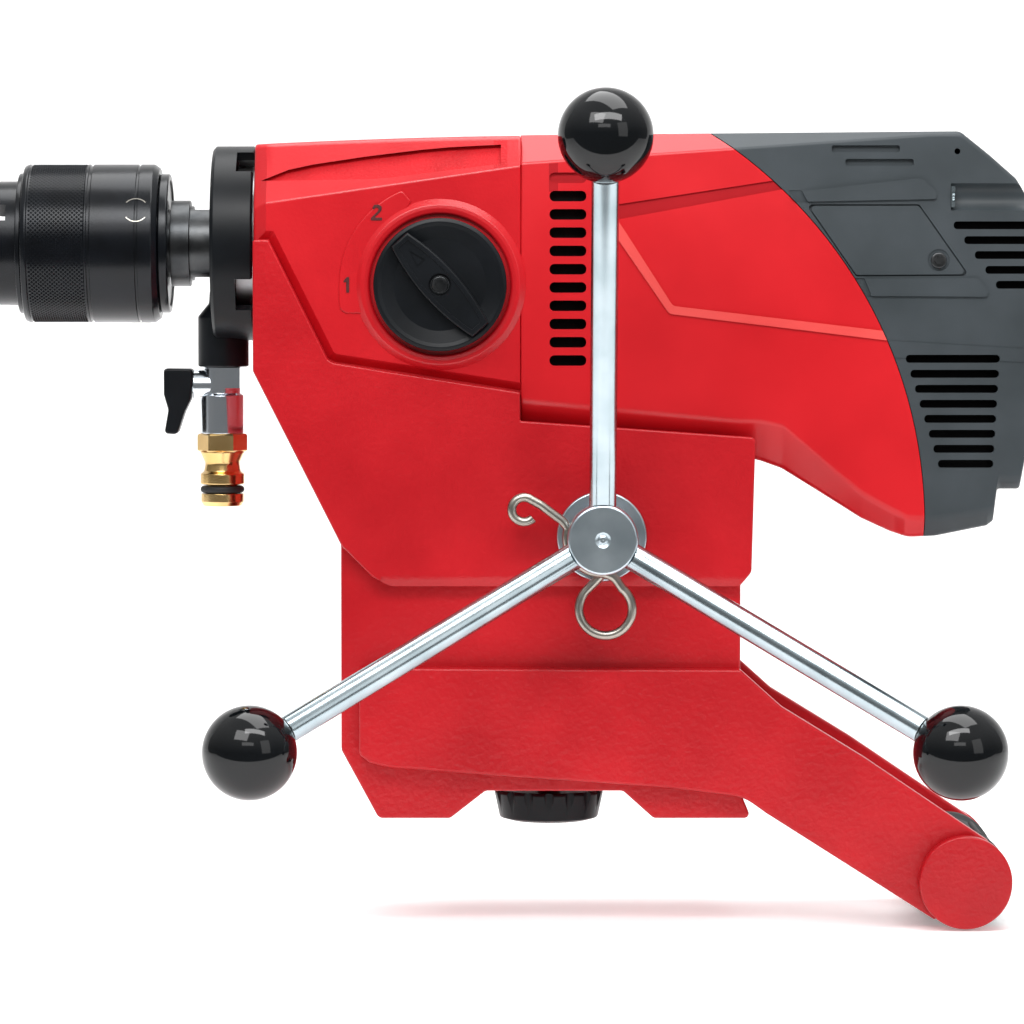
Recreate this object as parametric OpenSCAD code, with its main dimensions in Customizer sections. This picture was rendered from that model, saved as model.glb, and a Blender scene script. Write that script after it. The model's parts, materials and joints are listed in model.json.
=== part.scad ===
// Two-speed wet core drill in its rail carriage, as it comes off its column.
// X runs along the spindle with the chuck at -X, Y runs across with the handwheel at -Y, Z is up.
// The origin is the centre of the column passage, straight under the handwheel's axis.

/* [Drive] */
// Height of the spindle and motor axis above the column centre
drive_z = 195; // [194.5:0.1:195.5]
// Radius of the water bore through the spindle
water_bore_r = 6; // [4:0.5:7]
// Free play between meshing teeth, measured along the pitch circle
tooth_play = 0.3; // [0.25:0.01:0.35]

/* [Chuck] */
// Radius of the quick-release sleeve
sleeve_r = 35; // [33:0.5:36]
// Radius of the socket that takes the core bit's shank
socket_r = 17.5; // [16:0.25:18]
// Depth of that socket
socket_depth = 42; // [30:1:42]

/* [Water] */
// X of the valve and hose nipple
valve_x = -167.8; // [-168.5:0.1:-167]
// Radius of the hose nipple's sealing ridge
nipple_r = 9.8; // [9:0.1:10.5]

/* [Carriage] */
// Half width of the column passage
rail_half_y = 34; // [33:0.5:34]
// Half height of the column passage
rail_half_z = 34; // [32:0.5:34]
// Half width over the cast side plates
plate_y = 54; // [54:0.5:56]

/* [Handwheel] */
// Height of the handwheel's axis
wheel_z = 68; // [67.5:0.1:68.5]
// Distance from the axis to each ball knob's centre
ball_circle_r = 172; // [150:1:180]
// Radius of a ball knob
ball_r = 20; // [16:0.5:22]
// Y of the ball knobs' plane
ball_y = -141; // [-150:1:-130]
// Radius of a spoke
spoke_r = 5.8; // [5:0.1:7]
// Radius of the retaining clip's wire
clip_r = 2; // [1.5:0.1:2]

/* [Carrying handle] */
// X of the cross handle
handle_x = 158.4; // [157:0.1:160]
// Z of the cross handle
handle_z = -82.7; // [-84:0.1:-81]
// Radius of the handle's end caps
cap_r = 20.3; // [19:0.1:21]

/* [Casings] */
// Half width of the gear and motor casings
case_y = 50; // [49.5:0.1:50]
// Wall of the plastic casings
case_wall = 3; // [2.5:0.1:3]

/* [Hidden] */
$fn = 48;
running_gap = 0.04;
gear_module = 1.5;
pressure_angle = 25;
first_pinion_teeth = 9;
first_gear_teeth = 47;
low_pinion_teeth = 11;
low_gear_teeth = 45;
high_pinion_teeth = 20;
high_gear_teeth = 36;
centre_distance = gear_module * (first_pinion_teeth + first_gear_teeth) / 2;
counter_z = drive_z - centre_distance;

low_gear_x = -130;
high_gear_x = -98;
gear_w = 11;
first_gear_x = -60;
first_gear_w = 9;
dog_h = 2.5;
dog_root = 0.5;

plate_inner_y = 47;
seat_y = plate_inner_y - 0.2;

knob_x = -70.2;
knob_z = 177.2;
knob_throw = 5.55;
knob_swing = 49;
shift_pin_x = knob_x + knob_throw * cos(90 - knob_swing / 2);
shift_pin_z = knob_z + knob_throw * sin(90 - knob_swing / 2);

feed_teeth = 12;

lock_x = -22.6;
clip_y = -63;
clip_pass = -4.3;
clip_lean = -15.3;
link_step = 0.1;
rear_arc = [-62, 72, 203];

roller_spots = [[-95, -1], [-95, 1], [42, -1], [42, 1]];
roller_y = 42;
roller_z = -4;
tunnel_y = 17;
foot_spots = [[-112, -30], [-112, 30], [-64, -30], [-64, 30]];

carriage_red = [0.72, 0.07, 0.09];
motor_red = [0.78, 0.08, 0.10];
casing_black = [0.12, 0.14, 0.15];
plated_steel = [0.78, 0.79, 0.80];
dark_steel = [0.16, 0.17, 0.20];
bare_steel = [0.62, 0.63, 0.64];
brass_yellow = [0.78, 0.62, 0.30];
copper_brown = [0.72, 0.40, 0.22];
seal_black = [0.06, 0.06, 0.06];

// ---------- shared shapes ----------

// Children drawn along +Z are laid along +X from the given X, on the spindle's axis.
module on_drive(x) translate([x, 0, drive_z]) rotate([0, 90, 0]) children();

// The same on the countershaft's axis.
module on_counter(x) translate([x, 0, counter_z]) rotate([0, 90, 0]) children();

// Children drawn along +Z are laid along +Y from the given Y, at the given X and Z.
module across(x, y, z) translate([x, y, z]) rotate([-90, 0, 0]) children();

// An outline in X and Z, drawn out along Y.
module side_prism(outline, y0, y1)
    translate([0, y1, 0]) rotate([90, 0, 0]) linear_extrude(y1 - y0) polygon(outline);

// An outline in Y and Z, drawn out along X.
module end_prism(outline, x0, x1)
    translate([x0, 0, 0]) rotate([90, 0, 90]) linear_extrude(x1 - x0) polygon(outline);

// A tube with its bore.
module tube(outer, inner, length) difference() {
    cylinder(r = outer, h = length);
    translate([0, 0, -1]) cylinder(r = inner, h = length + 2);
}

// A cylinder whose two rims are chamfered.
module chamfered(r, length, c) rotate_extrude()
    polygon([[0, 0], [r - c, 0], [r, c], [r, length - c], [r - c, length], [0, length]]);

// Moves every edge of a counter-clockwise outline inwards by d.
function unit(v) = v / norm(v);
function inward(a, b) = let (e = unit(b - a)) [-e[1], e[0]];
function inset(p, d) = let (n = len(p)) [for (i = [0:n - 1]) let (
    m = inward(p[(i + n - 1) % n], p[i]),
    k = inward(p[i], p[(i + 1) % n])) p[i] + d * (m + k) / (1 + m * k)];

// Involute flank: half of the tooth's angle at radius r.
function involute(a) = tan(a) * 180 / PI - a;
function half_tooth(z, r) = let (
    pitch = gear_module * z / 2,
    base = pitch * cos(pressure_angle))
    90 / z - tooth_play / 4 / pitch * 180 / PI + involute(pressure_angle)
    - involute(acos(min(1, base / r)));
function flank_radius(z, k) = let (pitch = gear_module * z / 2)
    pitch - 1.05 * gear_module + k * 1.85 * gear_module / 3;
function flank_point(z, k, middle, side) = let (
    r = flank_radius(z, k),
    a = middle + side * half_tooth(z, r)) r * [cos(a), sin(a)];
function gear_outline(z) = [for (i = [0:z - 1]) each concat(
    [for (k = [0:3]) flank_point(z, k, i * 360 / z, -1)],
    [for (k = [3:-1:0]) flank_point(z, k, i * 360 / z, 1)])];

// Spur gear along +Z with a tooth at +X, or with a gap there if gap_first is true.
module gear(z, width, bore, gap_first = false) linear_extrude(width) difference() {
    rotate(gap_first ? 180 / z : 0) polygon(gear_outline(z));
    if (bore > 0) circle(r = bore);
}

// A ring of six coupling dogs, turned by half a pitch when they are the mating set.
module dogs(r_in, r_out, height, turn) intersection() {
    tube(r_out, r_in, height);
    for (i = [0:5]) rotate(i * 60 + turn) translate([0, -3.6, 0]) cube([r_out + 5, 7.2, height]);
}

// Wire of the given radius between two points.
module wire_leg(a, b, r) let (v = b - a, l = norm(v))
    translate(a) rotate([0, acos(v[2] / l), atan2(v[1], v[0])]) cylinder(r = r, h = l, $fn = 24);

// Arc of wire in the XZ plane: centre, bend radius, start angle and sweep.
module wire_arc(centre, bend, start, sweep, r) translate(centre) rotate([90, 0, 0])
    rotate([0, 0, start]) rotate_extrude(angle = sweep, $fn = 48)
        translate([bend, 0]) circle(r = r, $fn = 24);

// Ball bearing with its two rings, cage and balls as one sealed unit.
module bearing(outer, inner, width) rotate_extrude() difference() {
    translate([inner, 0]) square([outer - inner, width]);
    for (z = [-0.01, width - 0.79]) translate([(outer + inner) / 2 - (outer - inner) * 0.2, z])
        square([(outer - inner) * 0.4, 0.8]);
}

// ---------- outlines in X and Z ----------

// Cradle plate, which rises from the lower casting round both casings. A reach above
// zero stretches its outer edges, for the clearance that is cut from the casings.
function cradle_outline(reach = 0) = [
    [-99.8, 50.2 - reach], [-92, 46 - reach], [60, 46 - reach], [65.2 + reach, 52.2],
    [66.8 + reach, 110.8], [-35.5, 118], [-35.5, 130.4], [-116.4, 143.2], [-119, 144.7],
    [-144.6, 196.5], [-151.5 - reach, 196.5], [-151.5 - reach, 139.7], [-113.1 - reach, 63.7]];

core_outline = [
    [-97.3, -56], [-66, -56], [-50.6, -44], [9.5, -44], [22.9, -56], [65.6, -56], [60.7, -44],
    [60.7, 46], [62, 100.5], [-35, 112], [-137.4, 112], [-113.6, 63.7], [-113.6, -26]];

panel_outline = [
    [-105.6, -27.4], [-101, -31], [-93, -33], [-35, -37.4], [-11, -39], [30, -42], [62, -46],
    [71.7, -53], [145.6, -99.9], [handle_x, handle_z], [handle_x + 11, handle_z + 17], [114.4, -28.6],
    [78.5, -6.6], [60.5, 9.6], [-105.6, 10.4]];

gear_outline_xz = [
    [-137.2, 112.5], [-35.2, 112.5], [-35.2, 241.9], [-151.5, 238.4], [-151.5, 141.6]];

motor_outline = [
    [-35.2, 112.6], [66, 101], [70, 100], [78.9, 96.8], [94.4, 87.2], [113.6, 75.1], [126.3, 69.3],
    [134, 66.8], [146.1, 67.4], [168.4, 71.9], [171.1, 74], [172.8, 88], [182.5, 88], [184.4, 98],
    [184.4, 114], [186.4, 139.7], [188.2, 178], [188.2, 203], [185.1, 214.9], [180, 223.3],
    [168.4, 233.5], [155.7, 243.7], [-35.2, 242.3]];

brush_panel_outline = [[110.6, 181.2], [158.8, 181.5], [137.6, 211.5], [89.5, 211.5]];

// Cross-section in Y and Z with its two upper corners cut away.
function shoulders(y, z_low, z_side, z_top, y_top) =
    [[-y, z_low], [y, z_low], [y, z_side], [y_top, z_top], [-y_top, z_top], [-y, z_side]];

// ---------- carriage ----------

module carriage_plates() for (s = [-1, 1]) scale([1, s, 1]) {
    side_prism(cradle_outline(), -plate_y, -plate_inner_y);
    side_prism(panel_outline, -plate_y, -45);
    across(handle_x, -plate_y - 1, handle_z) cylinder(r = cap_r - 0.5, h = plate_y - 44);
}

module carriage_frame() color(carriage_red) difference() {
    union() {
        side_prism(core_outline, -plate_inner_y, plate_inner_y);
        carriage_plates();
    }
    translate([-150, -rail_half_y, -rail_half_z]) cube([260, 2 * rail_half_y, 2 * rail_half_z]);
    translate([-150, -13, 0]) cube([260, 26, 50]);
    across(0, -15, wheel_z) cylinder(r = 20, h = 30);
    translate([-14, -15, 30]) cube([28, 30, 30]);
    across(0, -plate_y - 20, wheel_z) cylinder(r = 10 + running_gap, h = 2 * plate_y + 40);
    for (s = [0, 1]) mirror([0, s, 0]) difference() {
        translate([-160, tunnel_y, 52]) cube([240, 28, 50]);
        translate([-30, 0, 92]) cube([110, 60, 20]);
        across(0, 0, wheel_z) cylinder(r = 15, h = 60);
    }
    for (p = foot_spots) translate([p[0], p[1], 90]) cylinder(r = 4, h = 30);
    for (p = roller_spots) translate([p[0], p[1] * roller_y, roller_z]) {
        translate([-10.5, p[1] > 0 ? -14 : -9.5, -11.5]) cube([21, 23.5, 23]);
        translate([0, 0, -20]) cylinder(r = 3, h = 32);
    }
    translate([lock_x, 0, -60]) cylinder(r = 5 + running_gap, h = 40);
    translate([lock_x - 16, -16, -39.5]) cube([32, 32, 10]);
    for (s = [-1, 1]) across(handle_x, s > 0 ? 40 : -60, handle_z) cylinder(r = 9, h = 20);
}

module handle_bar() color(bare_steel) across(handle_x, -plate_y - 0.5, handle_z)
    cylinder(r = 9, h = 2 * plate_y + 1);

module handle_grip() color(seal_black) across(handle_x, -43.8, handle_z) difference() {
    rotate_extrude() polygon([[9, 0], [19, 0], [20.2, 3], [20.2, 10], [18.5, 16], [18.5, 71.6],
        [20.2, 77.6], [20.2, 84.6], [19, 87.6], [9, 87.6]]);
    for (i = [0:11]) rotate(i * 30) translate([18.9, 0, 20]) cylinder(r = 1.2, h = 47.6);
}

module handle_end_caps() color(motor_red) for (s = [0, 1]) mirror([0, s, 0])
    across(handle_x, -plate_y - 8, handle_z) chamfered(cap_r, 6.9, 0.8);

module roller_axles() color(bare_steel) for (p = roller_spots)
    translate([p[0], p[1] * roller_y, roller_z - 20]) cylinder(r = 3, h = 32);

module guide_roller(i) let (p = roller_spots[i]) color(bare_steel)
    translate([p[0], p[1] * roller_y, roller_z - 11]) difference() {
    chamfered(9, 22, 1);
    translate([0, 0, -1]) cylinder(r = 3 + running_gap, h = 24);
}

module lock_knob() color(casing_black) translate([lock_x, 0, 0]) {
    translate([0, 0, -61.8]) difference() {
        rotate_extrude() polygon([[0, 0], [17, 0.3], [21.8, 1.6], [24.3, 13], [23, 14], [0, 14]]);
        for (i = [0:15]) rotate(i * 22.5) translate([25.4, 0, -1]) cylinder(r = 2.6, h = 20);
    }
    translate([0, 0, -48]) cylinder(r = 5, h = 8.9);
}

module clamp_shoe() color(bare_steel) translate([lock_x, 0, 0]) {
    translate([-15.5, -15.5, -39]) cube([31, 31, 4.5]);
}

// ---------- gear casing ----------

module gear_solid(d) intersection() {
    side_prism(inset(gear_outline_xz, d), -60, 60);
    translate([-91, 0, 220.5]) rotate([0, -8.3, 0])
        end_prism(shoulders(case_y - d, -200, 0, 24, 32 - d), -100, 100);
}

// Room that both casings leave for the cradle's plates.
module cradle_room() for (s = [0, 1]) mirror([0, s, 0]) translate([0, 0, 0.3])
    side_prism(cradle_outline(6), -70, -seat_y);

module gear_housing() color(motor_red) difference() {
    union() {
        difference() {
            gear_solid(0);
            difference() {
                gear_solid(3.6);
                translate([-80, -60, 100]) cube([14, 120, 150]);
                translate([-150, -60, 100]) cube([16, 120, 150]);
            }
            cradle_room();
            translate([-50, -43.2, 116.2]) cube([20, 86.4, 112.6]);
        }
        across(knob_x, -case_y - 2.4, knob_z) cylinder(r = 34.8, h = 8);
        for (p = foot_spots) translate([p[0], p[1], 112.5]) cylinder(r = 8, h = 9);
    }
    on_drive(-160) cylinder(r = 26, h = 30);
    on_drive(-79) cylinder(r = 21, h = 11);
    on_drive(-90) cylinder(r = 15, h = 30);
    on_counter(-147) cylinder(r = 14, h = 14);
    on_counter(-90) cylinder(r = 12, h = 30);
    translate([-82, -43, 158]) cube([20, 15, 36]);
    translate([-136, -35, 173]) rotate([0, 90, 0]) cylinder(r = 4, h = 4);
    across(knob_x, -60, knob_z) cylinder(r = 7 + running_gap, h = 30);
    across(knob_x, -60, knob_z) cylinder(r = 30.5, h = 60 - case_y - 0.2);
    for (p = foot_spots) translate([p[0], p[1], 110]) cylinder(r = 4, h = 9);
}

module bearing_cap() color(plated_steel) on_drive(-160) difference() {
    union() {
        cylinder(r = 34, h = 8.4);
        cylinder(r = 26, h = 12);
    }
    translate([0, 0, -1]) cylinder(r = 17.2, h = 20);
    for (i = [0:5]) rotate(30 + i * 60) translate([29.5, 0, -1]) cylinder(r = 2.2, h = 12);
}

module bearing_flange() color(bare_steel) difference() {
    union() {
        translate([-46.5, -43, 116.4]) cube([10, 86, 112]);
        on_drive(-46.5) cylinder(r = 18, h = 13);
    }
    on_drive(-50) cylinder(r = 13, h = 12.6);
    on_drive(-50) cylinder(r = 8.5, h = 30);
    on_counter(-50) cylinder(r = 13, h = 12.6);
}

module ball_bearings() color(bare_steel) {
    on_drive(-148) bearing(26, 16.2 + running_gap, 12);
    on_drive(-78.6) bearing(21, 10 + running_gap, 10);
    on_counter(-146.6) bearing(14, 6 + running_gap, 9);
    on_counter(-46.5) bearing(13, 6 + running_gap, 9);
    on_drive(-46.5) bearing(13, 5 + running_gap, 9);
    on_drive(138) bearing(13, 5 + running_gap, 8);
}

module shift_rod() color(bare_steel) translate([-136, -35, 173]) rotate([0, 90, 0]) cylinder(r = 4, h = 56);

module shift_fork() color(bare_steel) difference() {
    union() {
        on_drive(-106.2) intersection() {
            tube(29, 21.8, 2.4);
            translate([-40, -40, 0]) cube([80, 39, 3]);
        }
        translate([-110, -35, 173]) rotate([0, 90, 0]) cylinder(r = 6.6, h = 12);
        translate([-106.2, -38, 173]) cube([2.4, 12, 16]);
        translate([-106.2, -38, 178.2]) cube([46, 4, 10.5]);
    }
    translate([-120, -35, 173]) rotate([0, 90, 0]) cylinder(r = 4 + running_gap, h = 60);
    translate([shift_pin_x - 2.15, -45, 170]) cube([4.3, 20, 16.6]);
    on_drive(-112) cylinder(r = 21.8, h = 12);
}

module selector_knob() color(casing_black) across(knob_x, -case_y - 12, knob_z) difference() {
    union() {
        translate([0, 0, 4]) chamfered(28.9, 7.8, 1.2);
        intersection() {
            rotate(-132) translate([-26.5, -7.5, 0]) cube([53, 15, 8]);
            cylinder(r = 26.5, h = 8);
        }
    }
    translate([0, 0, -1]) cylinder(r = 4.9, h = 4);
    cylinder(r = 4, h = 30);
}

module selector_shaft() color(bare_steel) {
    across(knob_x, -case_y - 0.1, knob_z) cylinder(r = 7, h = 10);
    across(knob_x, -case_y - 8, knob_z) cylinder(r = 4, h = 8);
    across(shift_pin_x, -41, shift_pin_z) cylinder(r = 2, h = 6.6);
}

module selector_screw() color(dark_steel) across(knob_x, -case_y - 11.5, knob_z) difference() {
    cylinder(r = 4.8, h = 2.5);
    translate([0, 0, -1]) cylinder(r = 2, h = 2.2, $fn = 6);
}

// ---------- rotating drive ----------

module spindle() color(bare_steel) on_drive(0) difference() {
    union() {
        translate([0, 0, -222]) cylinder(r = 15, h = 32.2);
        translate([0, 0, -189.8]) cylinder(r = 19, h = 8.4);
        translate([0, 0, -181.4]) cylinder(r = 16.5, h = 32.4);
        translate([0, 0, -149]) cylinder(r = 16.2, h = 17);
        translate([0, 0, -132]) cylinder(r = 15.65, h = 16);
        translate([0, 0, -116]) cylinder(r = 13.5, h = 32);
        for (i = [0:5]) rotate(i * 60) translate([10, -2, -116]) cube([5.5, 4, 17]);
        translate([0, 0, -84]) cylinder(r = 12, h = 5.4);
        translate([0, 0, -78.6]) cylinder(r = 10, h = 12);
    }
    translate([0, 0, -230]) cylinder(r = water_bore_r, h = 86);
    for (i = [0, 1]) rotate(i * 180) translate([14.9, -20, -180]) cube([10, 40, 8]);
    translate([-30, 0, -161.7]) rotate([0, 90, 0]) cylinder(r = 2, h = 60);
}

module low_speed_gear() color(bare_steel) on_drive(low_gear_x) {
    gear(low_gear_teeth, gear_w, 15.65 + running_gap, true);
    translate([0, 0, gear_w - dog_root]) dogs(17.5, 23.5, dog_h + dog_root, 0);
}

module high_speed_gear() color(bare_steel) on_drive(high_gear_x) {
    gear(high_gear_teeth, gear_w, 13.5 + running_gap, true);
    translate([0, 0, -dog_h]) dogs(17.5, 23.5, dog_h + dog_root, 0);
}

module dog_sleeve() color(dark_steel) on_drive(-109) difference() {
    union() {
        cylinder(r = 24, h = 8);
        for (z = [-dog_h, 8 - dog_root]) translate([0, 0, z]) dogs(17.5, 23.5, dog_h + dog_root, 30);
    }
    translate([0, 0, 2.5]) tube(26, 21.5, 3);
    translate([0, 0, -5]) cylinder(r = 13.6, h = 20);
    for (i = [0:5]) rotate(i * 60) translate([10, -2.15, -5]) cube([5.7, 4.3, 20]);
}

module countershaft() color(bare_steel) {
    on_counter(-146.4) cylinder(r = 6, h = 108.4);
    on_counter(-136) cylinder(r = 6.6, h = 70);
    on_counter(low_gear_x) rotate(180) gear(low_pinion_teeth, gear_w, 0);
    on_counter(high_gear_x) rotate(180) gear(high_pinion_teeth, gear_w, 0);
}

module first_stage_gear() color(bare_steel) on_counter(first_gear_x) {
    rotate(180) gear(first_gear_teeth, first_gear_w, 6);
    translate([0, 0, first_gear_w]) tube(10, 6, 3);
}

module clutch_springs() color(dark_steel) on_counter(-66) for (i = [0:2]) translate([0, 0, i * 2])
    rotate_extrude() polygon([[6.6, 0], [14, 1], [14, 1.9], [6.6, 0.9]]);

module armature_shaft() color(bare_steel) {
    on_drive(-62) gear(first_pinion_teeth, 13, 0, true);
    on_drive(-49) cylinder(r = 5, h = 194.9);
}

module armature_core() color(dark_steel) on_drive(0) linear_extrude(76) difference() {
    circle(r = 24);
    circle(r = 5);
    for (i = [0:11]) rotate(i * 30) translate([15, -1.6]) square([12, 3.2]);
}

module armature_windings() color(copper_brown) on_drive(0) {
    for (i = [0:11]) rotate(i * 30) translate([15.2, -1.4, 0]) cube([6.8, 2.8, 76]);
    for (z = [-7, 76]) translate([0, 0, z]) tube(21, 5, 7);
}

module commutator() color(copper_brown) on_drive(104) linear_extrude(24) difference() {
    circle(r = 15);
    circle(r = 5);
    for (i = [0:23]) rotate(i * 15) translate([13.6, -0.25]) square([3, 0.5]);
}

module cooling_fan() color(casing_black) on_drive(-24) {
    difference() {
        cylinder(r = 36, h = 2);
        translate([0, 0, -1]) cylinder(r = 5, h = 4);
    }
    tube(10, 5, 14);
    for (i = [0:8]) rotate(i * 40) translate([9.5, -0.8, 1.5]) cube([25.5, 1.6, 12.5]);
}

// ---------- chuck ----------

module chuck_body() color(dark_steel) on_drive(0) difference() {
    union() {
        translate([0, 0, -266.8]) chamfered(27.5, 12, 1);
        translate([0, 0, -256]) cylinder(r = 28, h = 65);
    }
    translate([0, 0, -270]) cylinder(r = socket_r, h = 270 - 266.8 + socket_depth);
    translate([0, 0, -222]) cylinder(r = 15, h = 40);
    translate([0, 0, -226]) cylinder(r = water_bore_r, h = 10);
    for (i = [0:2]) rotate(180 + i * 120) translate([10, -4, -270]) cube([30, 8, 8.5]);
    for (i = [0:2]) rotate(60 + i * 120) translate([10, 0, -240]) rotate([0, 90, 0]) cylinder(r = 4, h = 30);
    translate([0, 0, -257]) tube(40, 25.5, 2.5);
}

module chuck_rings() color(dark_steel) {
    on_drive(-257) tube(31, 25.5, 2.3);
    on_drive(-194.5) difference() {
        chamfered(30.75, 4.2, 0.6);
        translate([0, 0, -1]) cylinder(r = 28, h = 10);
    }
}

module chuck_pawls() color(bare_steel) on_drive(0) for (i = [0:2]) rotate(60 + i * 120)
    translate([socket_r + 0.3, 0, -240]) rotate([0, 90, 0]) cylinder(r = 4, h = 9.7);

module chuck_sleeve() color(dark_steel) on_drive(-254.5) difference() {
    union() {
        chamfered(sleeve_r, 59.8, 2);
        for (i = [0:35]) rotate(i * 10) translate([sleeve_r - 0.55, 0, 2.2])
            cylinder(r = 0.8, h = 25, $fn = 6);
    }
    translate([0, 0, -1]) cylinder(r = 28 + running_gap, h = 70);
    translate([0, 0, 29]) tube(40, sleeve_r - 0.8, 1.4);
    translate([0, 0, 50.2]) tube(40, sleeve_r - 0.8, 1.2);
}

// ---------- water supply ----------

module water_ring() color(casing_black) difference() {
    union() {
        on_drive(-171) chamfered(43, 18.6, 1);
        translate([valve_x + 0.6, 0, 140.4]) cylinder(r = 11.2, h = 34);
    }
    on_drive(-161) cylinder(r = 39, h = 12);
    on_drive(-180) cylinder(r = 23, h = 40);
    for (i = [0:3]) on_drive(-161) rotate(58 + i * 90) translate([30, -8, 1]) cube([20, 16, 12]);
    translate([valve_x, 0, 120]) cylinder(r = 3.5, h = 60);
    translate([valve_x, 0, 139]) cylinder(r = 6, h = 7.4);
}

module water_seals() color(seal_black) {
    on_drive(-170.4) tube(23, 16.5 + running_gap, 5.4);
    on_drive(-163.3) tube(23, 16.5 + running_gap, 3.2);
    translate([valve_x, 0, 85.85]) rotate_extrude() translate([8.12, 0]) circle(r = 1.62, $fn = 24);
}

module valve_body() color(plated_steel) translate([valve_x, 0, 0]) difference() {
    union() {
        translate([0, 0, 127]) cylinder(r = 8, h = 13.4);
        translate([0, 0, 140.4]) cylinder(r = 6, h = 6);
        translate([0, 0, 110.6]) cylinder(r = 9.5, h = 17);
        translate([-12.7, 0, 132.2]) rotate([0, 90, 0]) cylinder(r = 6.6, h = 12);
    }
    translate([0, 0, 100]) cylinder(r = 3.5, h = 50);
    translate([0, 0, 100]) cylinder(r = 6, h = 18);
    translate([0, 0, 132.2]) sphere(r = 6 + running_gap);
    translate([-30, 0, 132.2]) rotate([0, 90, 0]) cylinder(r = 3 + running_gap, h = 30);
}

module valve_lever() color(casing_black) translate([valve_x, 0, 132.2]) difference() {
    union() {
        translate([-25.7, -6.5, -5.5]) cube([13, 13, 13]);
        side_prism([[-25.7, -21.8], [-19, -21.8], [-14.5, -6], [-12.7, -5], [-25.7, -5]], -6.5, 6.5);
    }
    translate([-20, 0, 0]) rotate([0, 90, 0]) cylinder(r = 3, h = 20);
}

module valve_ball() color(plated_steel) translate([valve_x, 0, 132.2]) difference() {
    union() {
        sphere(r = 6);
        translate([-20, 0, 0]) rotate([0, 90, 0]) cylinder(r = 3, h = 18);
    }
    translate([0, 0, -10]) cylinder(r = 3, h = 20);
}

module hose_nipple() color(brass_yellow) translate([valve_x, 0, 0]) difference() {
    union() {
        translate([0, 0, 102.8]) cylinder(r = 11.2, h = 7.8, $fn = 6);
        translate([0, 0, 110.6]) cylinder(r = 6, h = 6.4);
        rotate_extrude() polygon([[0, 78.5], [8.4, 78.5], [9.5, 82], [9.5, 84], [6.5, 84], [6.5, 87.7],
            [nipple_r, 88.2], [nipple_r, 92.7], [8, 94], [8, 98], [9.6, 100], [9.6, 102.8], [0, 102.8]]);
    }
    translate([0, 0, 70]) cylinder(r = 4, h = 60);
}

// ---------- motor ----------

module motor_solid(d) intersection() {
    side_prism(inset(motor_outline, d), -60, 60);
    end_prism(shoulders(case_y - d, 50, 226, 250, 30 - d), -60, 200);
}

// Everything in front of the curved joint between the two motor casings.
module front_of_joint(gap) across(rear_arc[0], -70, rear_arc[1])
    cylinder(r = rear_arc[2] - gap, h = 140, $fn = 96);

module motor_housing() color(motor_red) difference() {
    union() {
        intersection() {
            difference() {
                motor_solid(0);
                motor_solid(case_wall);
                translate([-40, -46, 118]) cube([12, 92, 118]);
            }
            front_of_joint(0.2);
        }
        for (x = [2, 66]) intersection() {
            motor_solid(1);
            translate([x, -60, 90]) cube([6, 120, 180]);
            front_of_joint(3);
        }
    }
    on_drive(-34) cylinder(r = 42.05, h = 140);
    cradle_room();
    for (s = [-1, 1], i = [0:10]) translate([-22.7, s * 50 - 6, 141.9 + i * 7.93]) cube([16, 12, 4.6]);
}

module rear_cover() color(casing_black) difference() {
    union() {
        difference() {
            motor_solid(0);
            motor_solid(case_wall);
        }
        for (s = [0, 1]) mirror([0, s, 0])
            side_prism(inset(brush_panel_outline, -2), -case_y, -case_y + case_wall);
    }
    front_of_joint(0);
    for (s = [0, 1]) mirror([0, s, 0]) {
        side_prism(inset(brush_panel_outline, 0), -60, -case_y + 1.5);
        side_prism(inset(brush_panel_outline, 4), -60, -40);
        for (i = [0:7]) translate([132.2 + i * 2.05, -60, 97.4 + (7 - i) * 6.54])
            cube([38 - i * 2.2, 15, 3.5]);
        for (i = [0:4]) translate([152.8 + i * 4.6, -60, 201.2 - i * 6.45])
            cube([28 - i * 4, 15, 3.35]);
    }
    for (i = [0, 1]) translate([99.8 + i * 6, -43, 234.6 - i * 5.9]) cube([29.6, 5, 2.8]);
    translate([180, -17, 163]) cube([20, 34, 30]);
    across(150, 40, 96) cylinder(r = 8, h = 20);
}

module brush_covers() color(casing_black) for (s = [0, 1]) mirror([0, s, 0]) difference() {
    side_prism(inset(brush_panel_outline, 0.15), -case_y - 1.4, -case_y + 1.45);
    across(146.3, -60, 187.7) cylinder(r = 4.8, h = 60 - case_y + 0.2);
    across(146.3, -60, 187.7) cylinder(r = 1.8, h = 30);
}

module assembly_screws() color(dark_steel) {
    for (p = foot_spots) translate([p[0], p[1], 94]) {
        difference() {
            cylinder(r = 6.5, h = 8);
            translate([0, 0, -1]) cylinder(r = 3.5, h = 5, $fn = 6);
        }
        translate([0, 0, 8]) cylinder(r = 4, h = 17);
    }
    on_drive(-160) for (i = [0:5]) rotate(30 + i * 60) translate([29.5, 0, 0]) cylinder(r = 2.2, h = 8.4);
    for (s = [0, 1]) mirror([0, s, 0]) across(146.3, -case_y - 1, 187.7) difference() {
        union() {
            cylinder(r = 3.6, h = 1.1);
            cylinder(r = 1.8, h = 2.45);
        }
        translate([0, 0, -1]) cylinder(r = 1.5, h = 1.6, $fn = 6);
    }
}

module stator_core() color(dark_steel) on_drive(-2) linear_extrude(80) difference() {
    circle(r = 42);
    circle(r = 24.8);
    for (s = [-1, 1]) rotate(90 + s * 90) for (a = [-24, 24]) rotate(a) translate([20, -5]) square([14, 10]);
}

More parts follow.
